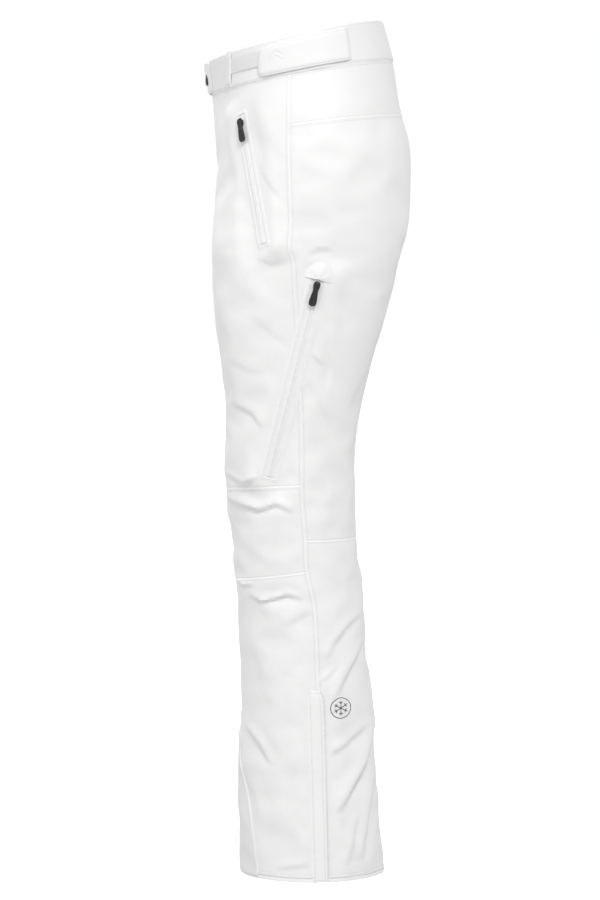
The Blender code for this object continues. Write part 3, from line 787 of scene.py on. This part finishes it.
SHELL = shell_material("shell white")
SHELL_TAB = shell_material("tab white", (0.840, 0.836, 0.834), side_row=TAB_STITCH,
                           level_rows=(TAB_STITCH,))
SHELL_HEM = shell_material("hem white", level_rows=HEM_STITCHES, below=0.1)
GUARD = shell_material("guard cloth", (0.800, 0.796, 0.794), (0.5, 0.51, 0.53), weave=0.6,
                       rough=0.5)
LINING = lining_material()
BLACK_RUBBER = plastic_material("black rubber", (0.014, 0.014, 0.015), 0.48)
BLACK_METAL = plastic_material("black enamel", (0.012, 0.012, 0.013), 0.28, 0.00008)
PILE = pile_material()
TAPE = tape_material("zip tape", (0.790, 0.787, 0.785), (0.820, 0.817, 0.815))
GREY_TAPE = tape_material("grey zip tape", (0.780, 0.777, 0.778), (0.808, 0.805, 0.806))


# ---- solid details
def tube_mesh(paths, radius, rings):
    """Vertices and faces of round tubes along several (3-D path, closed) pairs."""
    vertices, faces = [], []
    for path, closed in paths:
        path = np.asarray(path, float)
        count = len(path)
        before = np.roll(path, 1, axis=0) if closed else np.vstack([path[:1], path[:-1]])
        after = np.roll(path, -1, axis=0) if closed else np.vstack([path[1:], path[-1:]])
        tangent = unit(after - before)
        side_way = np.cross(tangent[0], (0.3, 0.5, 0.8))
        base = len(vertices)
        for p, d in zip(path, tangent):
            side_way = unit(side_way - d * np.dot(side_way, d))
            third = np.cross(d, side_way)
            vertices += [p + radius * (math.cos(a) * side_way + math.sin(a) * third)
                         for a in 2 * PI * np.arange(rings) / rings]
        for i in range(count if closed else count - 1):
            here, there = base + i * rings, base + (i + 1) % count * rings
            faces += [(here + k, here + (k + 1) % rings, there + (k + 1) % rings, there + k)
                      for k in range(rings)]
        if not closed:
            faces.append(tuple(range(base, base + rings))[::-1])
            faces.append(tuple(range(len(vertices) - rings, len(vertices))))
    return vertices, faces


def settle(obj, sharp, bevel=0.0):
    """Turns the faces outwards, bevels the sharp edges and shades the rest smooth."""
    bm = bmesh.new()
    bm.from_mesh(obj.data)
    bmesh.ops.recalc_face_normals(bm, faces=bm.faces)
    if bevel:
        edges = [e for e in bm.edges if len(e.link_faces) == 2 and e.calc_face_angle(0) > 0.6]
        bmesh.ops.bevel(bm, geom=edges, offset=bevel, segments=2, profile=0.6,
                        affect="EDGES", clamp_overlap=True)
        bmesh.ops.recalc_face_normals(bm, faces=bm.faces)
    bm.to_mesh(obj.data)
    bm.free()
    obj.data.polygons.foreach_set("use_smooth", [True] * len(obj.data.polygons))
    obj.data.set_sharp_from_angle(angle=math.radians(sharp))


def bridged(lower, upper):
    """Vertices and faces of the solid between two matching outlines."""
    n = len(lower)
    sides = [(i, (i + 1) % n, n + (i + 1) % n, n + i) for i in range(n)]
    return lower + upper, [tuple(reversed(range(n))), tuple(range(n, 2 * n))] + sides


class Frame:
    """A small work plane on a zip: across, along and out, in millimetres."""

    def __init__(self, line, side, along, lift, turn=1):
        self.origin = (line.start + line.along * along + line.out * lift) * mirror(side)
        self.across = line.across * mirror(side) * turn
        self.along = line.along * mirror(side) * turn
        self.out = line.out * mirror(side)

    def at(self, a, b, c):
        return self.origin + (a * self.across + b * self.along + c * self.out) * MM

    def prism(self, outline, low, high):
        """An outline raised from low to high."""
        return bridged([self.at(a, b, low) for a, b in outline],
                       [self.at(a, b, high) for a, b in outline])


def solid(name, parts, material, bevel):
    """One object from several (vertices, faces) parts, its edges bevelled."""
    vertices, faces = [], []
    for points, polygons in parts:
        faces += [tuple(len(vertices) + i for i in polygon) for polygon in polygons]
        vertices += points
    obj = mesh_object(name, vertices, faces, material)
    settle(obj, 40, bevel)
    return obj


def both_halves(half):
    """A closed outline from the points of its right half, foot first."""
    return half + tuple((-a, b) for a, b in reversed(half) if a)


SLIDER_PLATE = both_halves(((2.4, -0.3), (3.9, 1.4), (4.3, 3.0), (4.1, 6.4), (3.0, 10.6)))
SLIDER_WALL = ((3.3, 2.0), (4.25, 2.6), (4.0, 6.4), (3.0, 10.4), (2.5, 10.2), (3.2, 6.0))
SLIDER_ARCH = ((0.4, 4.3), (0.5, 5.3), (1.4, 6.1), (3.4, 6.4), (6.4, 6.0), (8.2, 5.1),
               (8.6, 4.3), (7.4, 4.3), (7.0, 4.8), (5.8, 5.2), (3.4, 5.5), (1.9, 5.3),
               (1.4, 4.8), (1.4, 4.3))
PULL_LINK = ((-1.5, 1.0), (-1.2, 0.3), (0.0, 0.0), (1.2, 0.3), (1.5, 1.0), (1.6, 3.2),
             (1.2, 4.0), (0.0, 4.2), (-1.2, 4.0), (-1.6, 3.2))
PULL_PADDLE = both_halves(((3.0, 1.9), (3.6, 2.6), (3.5, 4.2), (3.1, 6.5), (3.2, 10.0),
                           (4.1, 16.0), (4.7, 21.0), (4.8, 24.5), (4.2, 27.0), (2.6, 28.4),
                           (0.0, 28.8)))


def slider(name, work, body, node):
    """Die-cast zip slider: shield-shaped plate, side walls and the puller's bridge."""
    other_wall = [(-a, b) for a, b in reversed(SLIDER_WALL)]
    parts = [work.prism(SLIDER_PLATE, 3.5, 4.5), work.prism(SLIDER_WALL, 1.7, 3.9),
             work.prism(other_wall, 1.7, 3.9),
             bridged(*([work.at(a, b, c) for b, c in SLIDER_ARCH] for a in (-1.1, 1.1)))]
    dress(solid(name, parts, BLACK_METAL, 0.00035), "black_metal", body, node)


def puller(prefix, work, body, node, lift=4.9, narrow=1.0):
    """A wire link through the bridge and a moulded rubber pull with grip ridges."""
    path = [work.at(a, b, lift + 0.9) for a, b in PULL_LINK]
    link = mesh_object(prefix + "_link", *tube_mesh([(path, True)], 0.0005, 10), BLACK_METAL)
    dress(link, "black_metal", body)
    parts = [work.prism([(a * narrow, b) for a, b in PULL_PADDLE], lift - 0.7, lift + 0.9)]
    for b in 12.0 + 2.3 * np.arange(6):
        wide = (2.5 + 0.13 * (b - 12.0)) * narrow
        ridge = ((-wide, b), (wide, b), (wide, b + 1.0), (-wide, b + 1.0))
        parts.append(work.prism(ridge, lift + 0.5, lift + 1.35))
    pull = solid(prefix + "_pull", parts, BLACK_RUBBER, 0.0004)
    dress(pull, "black_rubber", body, node)


def zip_strip(name, line, side, lift, begin, end, width, material=TAPE):
    """Coated zip tape with a raised chain and a narrow parting down its middle."""
    half = (0.0, 0.25, 0.55, 1.0, 1.7, 2.3, 2.7, 3.3, 4.6, 6.2, width)
    across = np.array([-a for a in reversed(half[1:])] + list(half)) * MM
    rise = np.interp(np.abs(across) / MM, (0, 0.3, 0.7, 1.6, 2.2, 2.8, 3.4, width),
                     (0.55, 0.95, 1.25, 1.30, 1.05, 0.75, 0.62, 0.55)) * MM
    along = np.linspace(begin, end, int((end - begin) / 0.0007))[:, None]
    tooth = np.sin(along * 2 * PI / 0.0028) * 0.00012 * fade(np.abs(across), 0.0002, 0.0026)
    return dress(line.sheet(name, side, (across, along, rise + tooth + lift), 0.0007, material,
                            (True, True, False, False)), "zip_tape")


def welt(name, line, side, begin, end, half, wide=4.4):
    """The fabric's edge round a zip, a closed ring that falls away to the panel."""
    corner, reach = 2.0, half + wide / 2
    middle, long = (begin + end) / 2, (end - begin) / 2 / MM + wide / 2
    path = []
    for sx, sy, first in ((1, 1, 0), (-1, 1, 90), (-1, -1, 180), (1, -1, 270)):
        for a in np.radians(first + 15 * np.arange(7)):
            path.append((sx * (reach - corner) + corner * math.cos(a),
                         sy * (long - corner) + corner * math.sin(a)))
    dense = []
    for (ax, ay), (bx, by) in zip(path, path[1:] + path[:1]):
        steps = max(1, int(math.hypot(bx - ax, by - ay) / 2.5))
        dense += [(ax + (bx - ax) * k / steps, ay + (by - ay) * k / steps)
                  for k in range(steps)]
    ring = np.array(dense)
    tangent = unit(np.roll(ring, -1, axis=0) - np.roll(ring, 1, axis=0))
    outward = np.stack([tangent[:, 1], -tangent[:, 0]], axis=1)
    inside = -wide / 2
    profile = np.array(((inside, 0.30), (inside + 0.05, 0.66), (inside + 0.30, 0.80),
                        (inside + 0.8, 0.78), (inside + 1.4, 0.64), (-0.2, 0.54), (0.8, 0.40),
                        (1.6, 0.22), (wide / 2, 0.04), (wide / 2 + 0.6, -0.20)))
    place = (ring + outward * profile[:, :1, None]) * MM
    rise = np.broadcast_to(profile[:, 1:] * MM, place.shape[:2])
    return dress(line.sheet(name, side, (place[..., 0], place[..., 1] + middle, rise), 0.0004,
                            SHELL_TAB, LOOSE, closed=True), "shell_fabric")


def hood(name, line, side):
    """A rounded fabric hood that the slider parks under, open towards the zip."""
    share = np.concatenate([[0, 0.02, 0.05], np.linspace(0.1, 1, 22)])
    aa, ss = np.meshgrid(np.linspace(-1.62, 1.62, 41), share)
    across = 0.0190 * ss * np.sin(aa) + 0.0008 * np.sin(3 * aa) * ss
    along = -0.0028 - 0.0205 * ss * np.cos(aa) * (1 + 0.10 * np.cos(2 * aa))
    rise = 0.0036 * (1 - ss**2)**1.4 * (0.86 + 0.14 * np.cos(aa)) - 0.0007 * ss**4
    puckers = 0.00025 * np.sin(7 * aa) * ss * (1 - ss) * 4
    return dress(line.sheet(name, side, (across, along, rise + puckers), 0.0007, SHELL_TAB,
                            LOOSE), "shell_fabric")


# ---- panels
def level(h):
    return lambda u: h + 0 * np.asarray(u, float)


def knee_line(table):
    """A knee seam over the front panel's share, from the inseam to the side seam."""
    return lambda u: smooth(table, -90 + 180 * np.asarray(u, float))


def hip_blend(obj, side, leg):
    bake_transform(obj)


def knee_blend(obj, side, leg):
    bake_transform(obj)


# name, angles, top, foot, sewn edges, hem, blend, replaced nodes
PANELS = (
    ("front", front_angle, level(BAND_H), knee_line(KNEE_TOP), SEWN, False, hip_blend,
     ("front_panel", "thigh_front")),
    ("seat", back_angle, level(YOKE_H), level(SPLIT_H), (True, True, True, False), False,
     hip_blend, ("seat_panel", "hip_fold")),
    ("thigh_rear", back_angle, level(SPLIT_H), level(BACK_KNEE_H), (True, True, False, True),
     False, knee_blend, ("thigh_back", "knee_fold")),
    ("knee", front_angle, knee_line(KNEE_TOP), knee_line(KNEE_FOOT), SEWN, False, knee_blend,
     ("knee_panel",)),
    ("shin_front", front_angle, knee_line(KNEE_FOOT), level(HEM_H), SEWN, True, knee_blend,
     ("shin",)),
    ("calf_rear", back_angle, level(BACK_KNEE_H), level(HEM_H), SEWN, True, knee_blend,
     ("calf",)),
)


def build_legs(side, leg):
    for name, angle, top, foot, edges, hem, blend, nodes in PANELS:
        obj = panel(side, f"{leg}_{name}", angle, top, foot, edges, hem)
        blend(obj, side, leg)
        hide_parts(*[f"{leg}_{node}" for node in nodes])


def near_rim(u, v, width, height):
    """Distance to a patch's nearest edge."""
    return np.minimum(np.minimum(u, 1 - u) * width, np.minimum(v, 1 - v) * height)


def grid_patch(side, name, angle, top, foot, lift, thick, material, on_cloth=False,
               step=0.003, roll=0.0009, rise=None):
    """A trim sheet laid over the fabric between two angle functions and two heights."""
    width = patch_width(angle, top, foot, 20)
    u = spaced(width, SEWN[:2], step, TRIM_CLOSE)
    height = float(np.mean(top(u)) - np.mean(foot(u)))
    v = spaced(height, SEWN[2:], step, TRIM_CLOSE)
    uu, vv = np.meshgrid(u, v)
    h = top(uu) + (foot(uu) - top(uu)) * vv
    surface = level_surface(angle(uu, h), h)
    near = near_rim(uu, vv, width, height)
    amount = lift - roll * np.exp(-(near / 0.0013)**2)
    if on_cloth:
        amount += relief(side, angle(uu, h), h, *surface)
    if rise is not None:
        amount += rise(uu, vv, near)
    return lay(name, surface, amount, mirror(side), thick, [material])


def loop_rise(u, v, near):
    """The belt loop lies down at its two sewn ends."""
    return -0.0011 * np.exp(-(np.minimum(v, 1 - v) / 0.09)**2)


STRAP_LONG, STRAP_CORNER = 0.110, 0.0095
CHEVRON_PLACES = (8.5, 14.5)


def strap_corner(u):
    """How far the waist strap's round front corners cut into its level edges."""
    inside = np.clip(1 - u * STRAP_LONG / STRAP_CORNER, 0, 1)
    return STRAP_CORNER * (1 - np.sqrt(1 - inside**2 * 0.998))


def strap_rise(u, v, near):
    """A padded strap with embossed chevrons, its rear end down on the belt."""
    beside = np.abs(110 * u - 21)
    drop = 36 * v - 0.9 * beside
    marks = sum(np.exp(-((drop - place) / 0.9)**2) for place in CHEVRON_PLACES)
    return (0.0007 * fade(-near, -0.006, -0.0015) - 0.0008 * marks * fade(beside, 7.5, 8.5)
            - 0.0022 * fade(-u, -1.0, -0.93))


# the scuff guard's front edge: degrees from the front by height
GUARD_EDGE = ((-0.865, 8.0), (-0.900, 14.0), (-0.950, 30.0), (-1.000, 39.0), (-1.050, 43.0))
GUARD_BACK = math.radians(-150)
PLACKET_TOP, PLACKET_FOOT = -0.8075, -1.0438


def guard_angle(u, h):
    return GUARD_BACK + (np.radians(smooth(GUARD_EDGE, h)) - GUARD_BACK) * u


def placket_angle(u, h):
    first = 0.0135 + (h + 0.808) / (-1.040 + 0.808) * (0.0198 - 0.0135)
    below_top = (PLACKET_TOP - h) / 0.2365
    return angle_at(first + (0.0178 - 0.003 * np.clip(1 - below_top * 10, 0, 1)**2) * u, h)


def placket_rise(u, v, near):
    """A flap sewn down in front and at its top, puckered beside the seam."""
    pucker = np.sin(v * 190 + 2 * np.sin(v * 40)) * np.exp(-((u - 0.16) / 0.14)**2)
    return (0.0004 * np.sin(9 * v + 1) * u - 0.0020 * fade(u, 0.02, 0.45)
            - 0.0014 * fade(v, 0.0, 0.04) + 0.0003 * pucker)


# name, replaced node, body, slot, material, angles, top, foot, lift, thickness, more
TRIMS = (
    ("pile_strip", "loop_strip", "seat", "loop_tape", PILE,
     lambda u, h: angle_at(-0.0850 + 0.1150 * u, h), level(-0.0095), level(-0.0300),
     0.0027, 0.0012, {"step": 0.004, "roll": 0.0003}),
    ("loop", "belt_loop", "seat", "shell_fabric", SHELL_TAB,
     lambda u, h: angle_at(-0.0852 + 0.0056 * u, h), level(0.0005), level(-0.0465),
     0.0043, 0.0012, {"step": 0.002, "roll": 0.0005, "rise": loop_rise}),
    ("waist_strap", "adjuster_tab", "{}_adjuster_tab", "shell_fabric", SHELL_TAB,
     lambda u, h: angle_at(-0.0452 + (0.1067 + (-0.003 - h) * 0.13) * u, h),
     lambda u: -0.0085 + 0.0045 * np.minimum(u * 1.6, 1) - strap_corner(u),
     lambda u: -0.0445 + 0.0015 * u + strap_corner(u),
     0.0054, 0.0026, {"step": 0.0012, "rise": strap_rise}),
    ("pocket_lining", "pocket_bag", "seat", "lining", LINING,
     lambda u, h: angle_at(-0.094 + 0.064 * u, h), level(-0.100),
     lambda u: -0.222 - 0.014 * np.sin(PI * u), -0.0042, 0.0008,
     {"step": 0.006, "roll": 0.0,
      "rise": lambda u, v, near: 0.0003 * np.sin(30 * u) * np.sin(22 * v)}),
    ("guard", "scuff_guard", "{}_shin", "guard_fabric", GUARD, guard_angle, level(-0.868),
     level(-1.0432), 0.0017, 0.0013, {"on_cloth": True}),
    ("placket", "hem_flap", "{}_hem_flap", "shell_fabric", SHELL_TAB, placket_angle,
     level(PLACKET_TOP), level(PLACKET_FOOT), 0.0024, 0.0010,
     {"roll": 0.0004, "rise": placket_rise}),
)


def build_trims(side, leg):
    for name, node, body, slot, material, angle, top, foot, lift, thick, more in TRIMS:
        obj = grid_patch(side, f"{leg}_{name}", angle, top, foot, lift, thick, material, **more)
        dress(obj, slot, body.format(leg), f"{leg}_{node}")


def build_cuff(side, leg):
    """The inner snow gaiter, gathered at its foot."""
    t = np.linspace(-PI / 2, 1.5 * PI, 160)[:-1]
    tt, vv = np.meshgrid(t, np.linspace(0, 1, 40))
    lift = 0.0004 * np.sin(44 * tt + 3 * np.sin(5 * tt)) * np.exp(-((vv - 1) / 0.10)**2)
    lift += -0.0117 + 0.0003 * np.sin(24 * vv) * np.exp(-vv * 3)
    cuff = lay(leg + "_snow_cuff", level_surface(tt, -0.870 - 0.155 * vv), lift, mirror(side),
               0.0010, [LINING], (False, False, True, True), closed=True)
    dress(cuff, "gaiter_fabric", leg + "_shin", leg + "_gaiter")


TOP_RUNNER_LIFT, HEM_RUNNER_LIFT, FLY_RUNNER_LIFT = 0.0004, -0.0062, -0.0062
PULL_START = 0.0018


def build_zips(side, leg):
    """The pocket zips with their welts, the thigh hood and the hem zip."""
    for base, line, cloth_tape, half in (("hand", HAND, TAPE, 6.3),
                                         ("thigh", THIGH, GREY_TAPE, 8.2)):
        name = f"{leg}_{base}"
        tape = zip_strip(name + "_tape", line, side, -0.0002, -0.003, line.length + 0.003,
                         half + 0.9, cloth_tape)
        edge = welt(name + "_welt", line, side, -0.006, line.length + 0.005, half)
        for obj in (tape, edge):
            hip_blend(obj, side, leg)
        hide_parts(name + "_zip")
        slider(name + "_runner", Frame(line, side, 0.0, TOP_RUNNER_LIFT), name + "_slider",
               name + "_slider")
        puller(name, Frame(line, side, PULL_START, TOP_RUNNER_LIFT), name + "_puller",
               name + "_puller")
    hip_blend(hood(leg + "_thigh_hood", THIGH, side), side, leg)
    tape = zip_strip(leg + "_hem_tape", HEM, side, -0.0066, 0.003, HEM.length + 0.002, 8.6)
    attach(tape, leg + "_shin")
    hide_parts(leg + "_hem_zip")
    low = HEM.length - 0.0115
    slider(leg + "_hem_runner", Frame(HEM, side, low, HEM_RUNNER_LIFT), leg + "_hem_slider",
           leg + "_hem_slider")
    puller(leg + "_hem", Frame(HEM, side, low + 0.0095, HEM_RUNNER_LIFT, turn=-1),
           leg + "_hem_slider", leg + "_hem_puller", lift=4.7, narrow=0.76)


# ---- waist
WAIST_HALF = 0.157
CENTRE_GAP = math.asin(0.0004 / 0.155)


def both_sides(a):
    """Mirroring factors for each angle round the waist, by the side it lies on."""
    side = np.where((a >= 0) & (a <= PI), 1.0, -1.0)
    return np.stack([side, np.ones_like(side), np.ones_like(side)], axis=-1)


def waist_sheet(name, first, top, foot, lift, thick, counts, materials, wave=None):
    """A belt round the waist from the left front over the back to the right front."""
    rows, cols = counts
    aa, vv = np.meshgrid(np.linspace(first, 2 * PI - first, cols),
                         shares((0, 0.02, 0.05), 0.1, rows))
    surface = level_surface(np.where(aa <= PI, aa, 2 * PI - aa), top + (foot - top) * vv)
    near = np.minimum(vv, 1 - vv) * abs(foot - top)
    amount = lift - 0.0009 * np.exp(-(near / 0.0009)**2)
    if wave is not None:
        amount += wave(vv, surface[0])
    return lay(name, surface, amount, both_sides(aa), thick, materials)


def build_belt():
    def quilt(v, points):
        roll = 0.0004 * np.exp(-((v - 0.12) / 0.04)**2)
        return roll + 0.00035 * waves(points, 0.05, 5, (1, 1, 0.4))
    belt = waist_sheet("waist_belt", CENTRE_GAP, 0.0, BAND_H, 0.0014, 0.005, (12, 260),
                       [SHELL, LINING], quilt)
    dress(belt, "shell_fabric", "seat", "waistband")
    facing = waist_sheet("waist_lining", math.radians(4), -0.004, -0.044, -0.0040, 0.0012,
                         (8, 160), [LINING])
    dress(facing, "lining", "seat", "waistband_facing")


def build_yoke():
    """The curved panel over the seat, from side seam to side seam."""
    first = float(seam(BAND_H - 0.03))
    uu, vv = np.meshgrid(shares((0, 0.002, 0.006, 0.013), 0.02, 150),
                         shares((0, 0.015, 0.04, 0.08), 0.12, 22))
    a = first + (2 * PI - 2 * first) * uu
    h = BAND_H + (YOKE_H - BAND_H) * vv
    t = PI - np.abs(a - PI) / (PI - first) * (PI - seam(h))
    surface = level_surface(t, h)
    amount = np.where(a <= PI, relief(1, t, h, *surface), relief(-1, t, h, *surface))
    amount *= fade(-np.abs(a - PI), -0.25, -0.03)
    amount += seam_profile(near_rim(uu, vv, 0.40, 0.064))
    yoke = lay("yoke", surface, amount, both_sides(a), SHELL_THICK, [SHELL, LINING])
    dress(yoke, "shell_fabric", "seat", "back_yoke")


def turned(name, profile, centre, out, material, segments=48):
    """A round part: a (radius, height) profile in mm turned about out."""
    first = unit(np.cross(out, (0, 0, 1.0)))
    second = np.cross(out, first)
    vertices = [centre + out * (profile[0][1] * MM)]
    for r, z in profile[1:-1]:
        vertices += [centre + (math.cos(a) * first + math.sin(a) * second) * (r * MM)
                     + out * (z * MM) for a in 2 * PI * np.arange(segments) / segments]
    vertices.append(centre + out * (profile[-1][1] * MM))
    faces = []
    last = len(vertices) - 1 - segments
    for k in range(segments):
        m = (k + 1) % segments
        faces.append((0, 1 + m, 1 + k))
        faces += [(base + k, base + m, base + segments + m, base + segments + k)
                  for base in range(1, last, segments)]
        faces.append((last + k, last + m, len(vertices) - 1))
    obj = mesh_object(name, vertices, faces, material)
    settle(obj, 50)
    return obj


TAB_TOP, TAB_FOOT = -0.0015, -0.0460
SNAP_CAP = ((0, 4.6), (6.9, 4.7), (7.5, 5.1), (7.6, 5.9), (7.2, 6.6), (6.5, 6.9), (5.7, 6.8),
            (5.3, 6.4), (4.9, 6.4), (4.4, 6.9), (2.6, 7.3), (0.8, 7.4), (0, 7.4))
SNAP_STUD = ((0, 0.8), (5.4, 0.9), (5.5, 1.2), (5.0, 1.4), (3.6, 1.4), (3.4, 1.6), (3.4, 1.8),
             (2.6, 1.9), (0, 1.9))


def build_waist_tab():
    """The front closure tab with its snap."""
    hinge_t, free_t, snap_t = (math.asin(x / WAIST_HALF) for x in (0.024, 0.0430, 0.0290))
    uu, vv = np.meshgrid(shares((0, 0.01, 0.03), 0.06, 26), shares((0, 0.015, 0.04), 0.08, 18))
    a = -hinge_t + (free_t + hinge_t) * uu
    drop = 0.003 * np.clip((uu - 0.93) / 0.07, 0, 1)**2
    h = (TAB_TOP - drop) + (TAB_FOOT - TAB_TOP + 2 * drop) * vv
    near = near_rim(uu, vv, 0.067, 0.0445)
    rise = 0.0050 - 0.0010 * np.exp(-(near / 0.0014)**2) + 0.0003 * fade(-near, -0.006, -0.002)
    rise -= 0.0007 * fade(-uu, -1.0, -0.9)
    tab = lay("waist_closure", level_surface(np.abs(a), h), rise, both_sides(a), SHELL_THICK,
              [SHELL_TAB])
    dress(tab, "shell_fabric", "waist_tab", "waist_tab")
    base, out = level_surface(np.array(snap_t), np.array(-0.0266))
    for name, profile, body, node in (("snap_button", SNAP_CAP, "waist_tab", "snap_cap"),
                                      ("snap_socket", SNAP_STUD, "seat", "snap_stud")):
        dress(turned(name, profile, base, out, BLACK_METAL), "black_metal", body, node)


def build_fly():
    """The fly zip and the shield behind it."""
    line = FlyLine()
    tape = zip_strip("fly_tape", line, 1, -0.0053, -0.003, line.length + 0.003, 8.8)
    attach(tape, "seat")
    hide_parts("fly_zip")
    slider("fly_runner", Frame(line, 1, 0.0, FLY_RUNNER_LIFT), "fly_slider", "fly_slider")
    puller("fly", Frame(line, 1, PULL_START, FLY_RUNNER_LIFT), "fly_puller", "fly_puller")
    aa, bb = np.meshgrid(np.linspace(-1, 1, 14), np.linspace(-0.002, 0.124, 40))
    half = 0.017 * np.sqrt(np.clip(1 - np.clip((bb - 0.100) / 0.026, 0, 1)**2, 0.02, 1))
    out = -0.0068 + 0.0003 * np.sin(60 * bb)
    shield = line.sheet("fly_backing", 1, (aa * half, bb, out), 0.0010, LINING, SEWN)
    dress(shield, "lining", "seat", "fly_shield")


EMBLEM_Y, EMBLEM_Z, EMBLEM_R = 0.0540, -0.8300, 0.0125
BRANCH_AT, BRANCH_LONG = 0.46, 0.24


def build_emblem():
    """A plain printed snowflake in a ring on the left calf."""
    def heading(a):
        return np.array([math.cos(a), math.sin(a)]) * EMBLEM_R
    flat = [([heading(a) for a in np.linspace(0, 2 * PI, 65)[:-1]], True)]
    for a in PI / 2 + np.arange(6) * PI / 3:
        flat.append(([heading(a) * f for f in np.linspace(0.0, 0.74, 9)], False))
        for turn in (-PI / 3.2, PI / 3.2):
            flat.append(([heading(a) * BRANCH_AT + heading(a + turn) * BRANCH_LONG * g
                          for g in (0, 0.5, 1)], False))
    paths = []
    for points, closed in flat:
        y, z = np.array(points).T + np.array([[EMBLEM_Y], [EMBLEM_Z]])
        t, h = locate(y, z)
        place, out = level_surface(t, h)
        lift = relief(1, t, h, place, out) + 0.0001
        paths.append((place + out * lift[..., None], closed))
    print_mesh = mesh_object("calf_print", *tube_mesh(paths, 0.00042, 6), BLACK_RUBBER)
    dress(print_mesh, "black_rubber", "left_shin")


# ---- studio
FLOOR_Z = -1.16
# name, place, size across, watts
LIGHTS = (("key", (3.9, 0.9, 3.2), 1.4, 124.0), ("fill", (-4.4, -2.6, 2.0), 2.2, 72.0),
          ("front", (2.4, -3.8, 2.6), 1.8, 44.0))
WORLD_STRENGTH = 0.74
CAMERA_PLACE, CAMERA_AIM, LENS = (4.1, 0.004, -0.277), (0.1, 0.004, -0.5145), 128.0
# the white backdrop is a closed shell far outside everything, radius and height in mm
BACKDROP = ((0, -40e3), (30e3, -25e3), (40e3, 0), (30e3, 25e3), (0, 40e3))


def aimed(name, data, place, target):
    """A lamp or camera at a place, pointing at a target."""
    obj = bpy.data.objects.new(name, data)
    obj.location = place
    obj.rotation_euler = (Vector(target) - Vector(place)).to_track_quat("-Z", "Y").to_euler()
    bpy.context.scene.collection.objects.link(obj)
    return obj


def build_studio():
    scene = bpy.context.scene
    n = Nodes("pale floor")
    shade = n.mix(n.noise(3.0, 4.0), (0.90, 0.90, 0.90), (0.93, 0.93, 0.93))
    pale = n.finish(shade, 0.8, Emission_Color=(1, 1, 1), Emission_Strength=0.60)
    floor = mesh_object("floor", [(-30, -30, 0), (30, -30, 0), (30, 30, 0), (-30, 30, 0)],
                        [(0, 1, 2, 3)], pale)
    floor.location = (0, 0, FLOOR_Z)
    floor.visible_diffuse = floor.visible_glossy = False
    n = Nodes("white backdrop")
    white = n.finish((0, 0, 0), 1.0, Emission_Strength=1.02, Emission_Color=(1, 1, 1),
                     Specular_IOR_Level=0.0)
    wall = turned("backdrop", BACKDROP, np.zeros(3), np.array([0.0, 0.6, 0.8]), white)
    for ray in ("diffuse", "glossy", "transmission", "shadow"):
        setattr(wall, "visible_" + ray, False)
    world = bpy.data.worlds.new("studio")
    world.use_nodes = True
    background = world.node_tree.nodes["Background"]
    background.inputs[0].default_value = (1, 1, 1, 1)
    background.inputs[1].default_value = WORLD_STRENGTH
    scene.world = world
    for name, place, size, power in LIGHTS:
        data = bpy.data.lights.new(name, "AREA")
        data.energy = power
        data.size = size
        aimed(name, data, place, (0.0, 0.0, -0.5))
    data = bpy.data.cameras.new("camera")
    data.lens = LENS
    scene.camera = aimed("camera", data, CAMERA_PLACE, CAMERA_AIM)
    scene.view_settings.view_transform = "Standard"


still = np.zeros((SIM_ROWS, SIM_COLS))
SWELL = {1: still, -1: still}
SWELL = {1: simulated_swell(3), -1: simulated_swell(8)}
build_belt()
build_yoke()
build_waist_tab()
build_fly()
for number, word in SIDES:
    build_legs(number, word)
    build_trims(number, word)
    build_cuff(number, word)
    build_zips(number, word)
build_emblem()
build_studio()
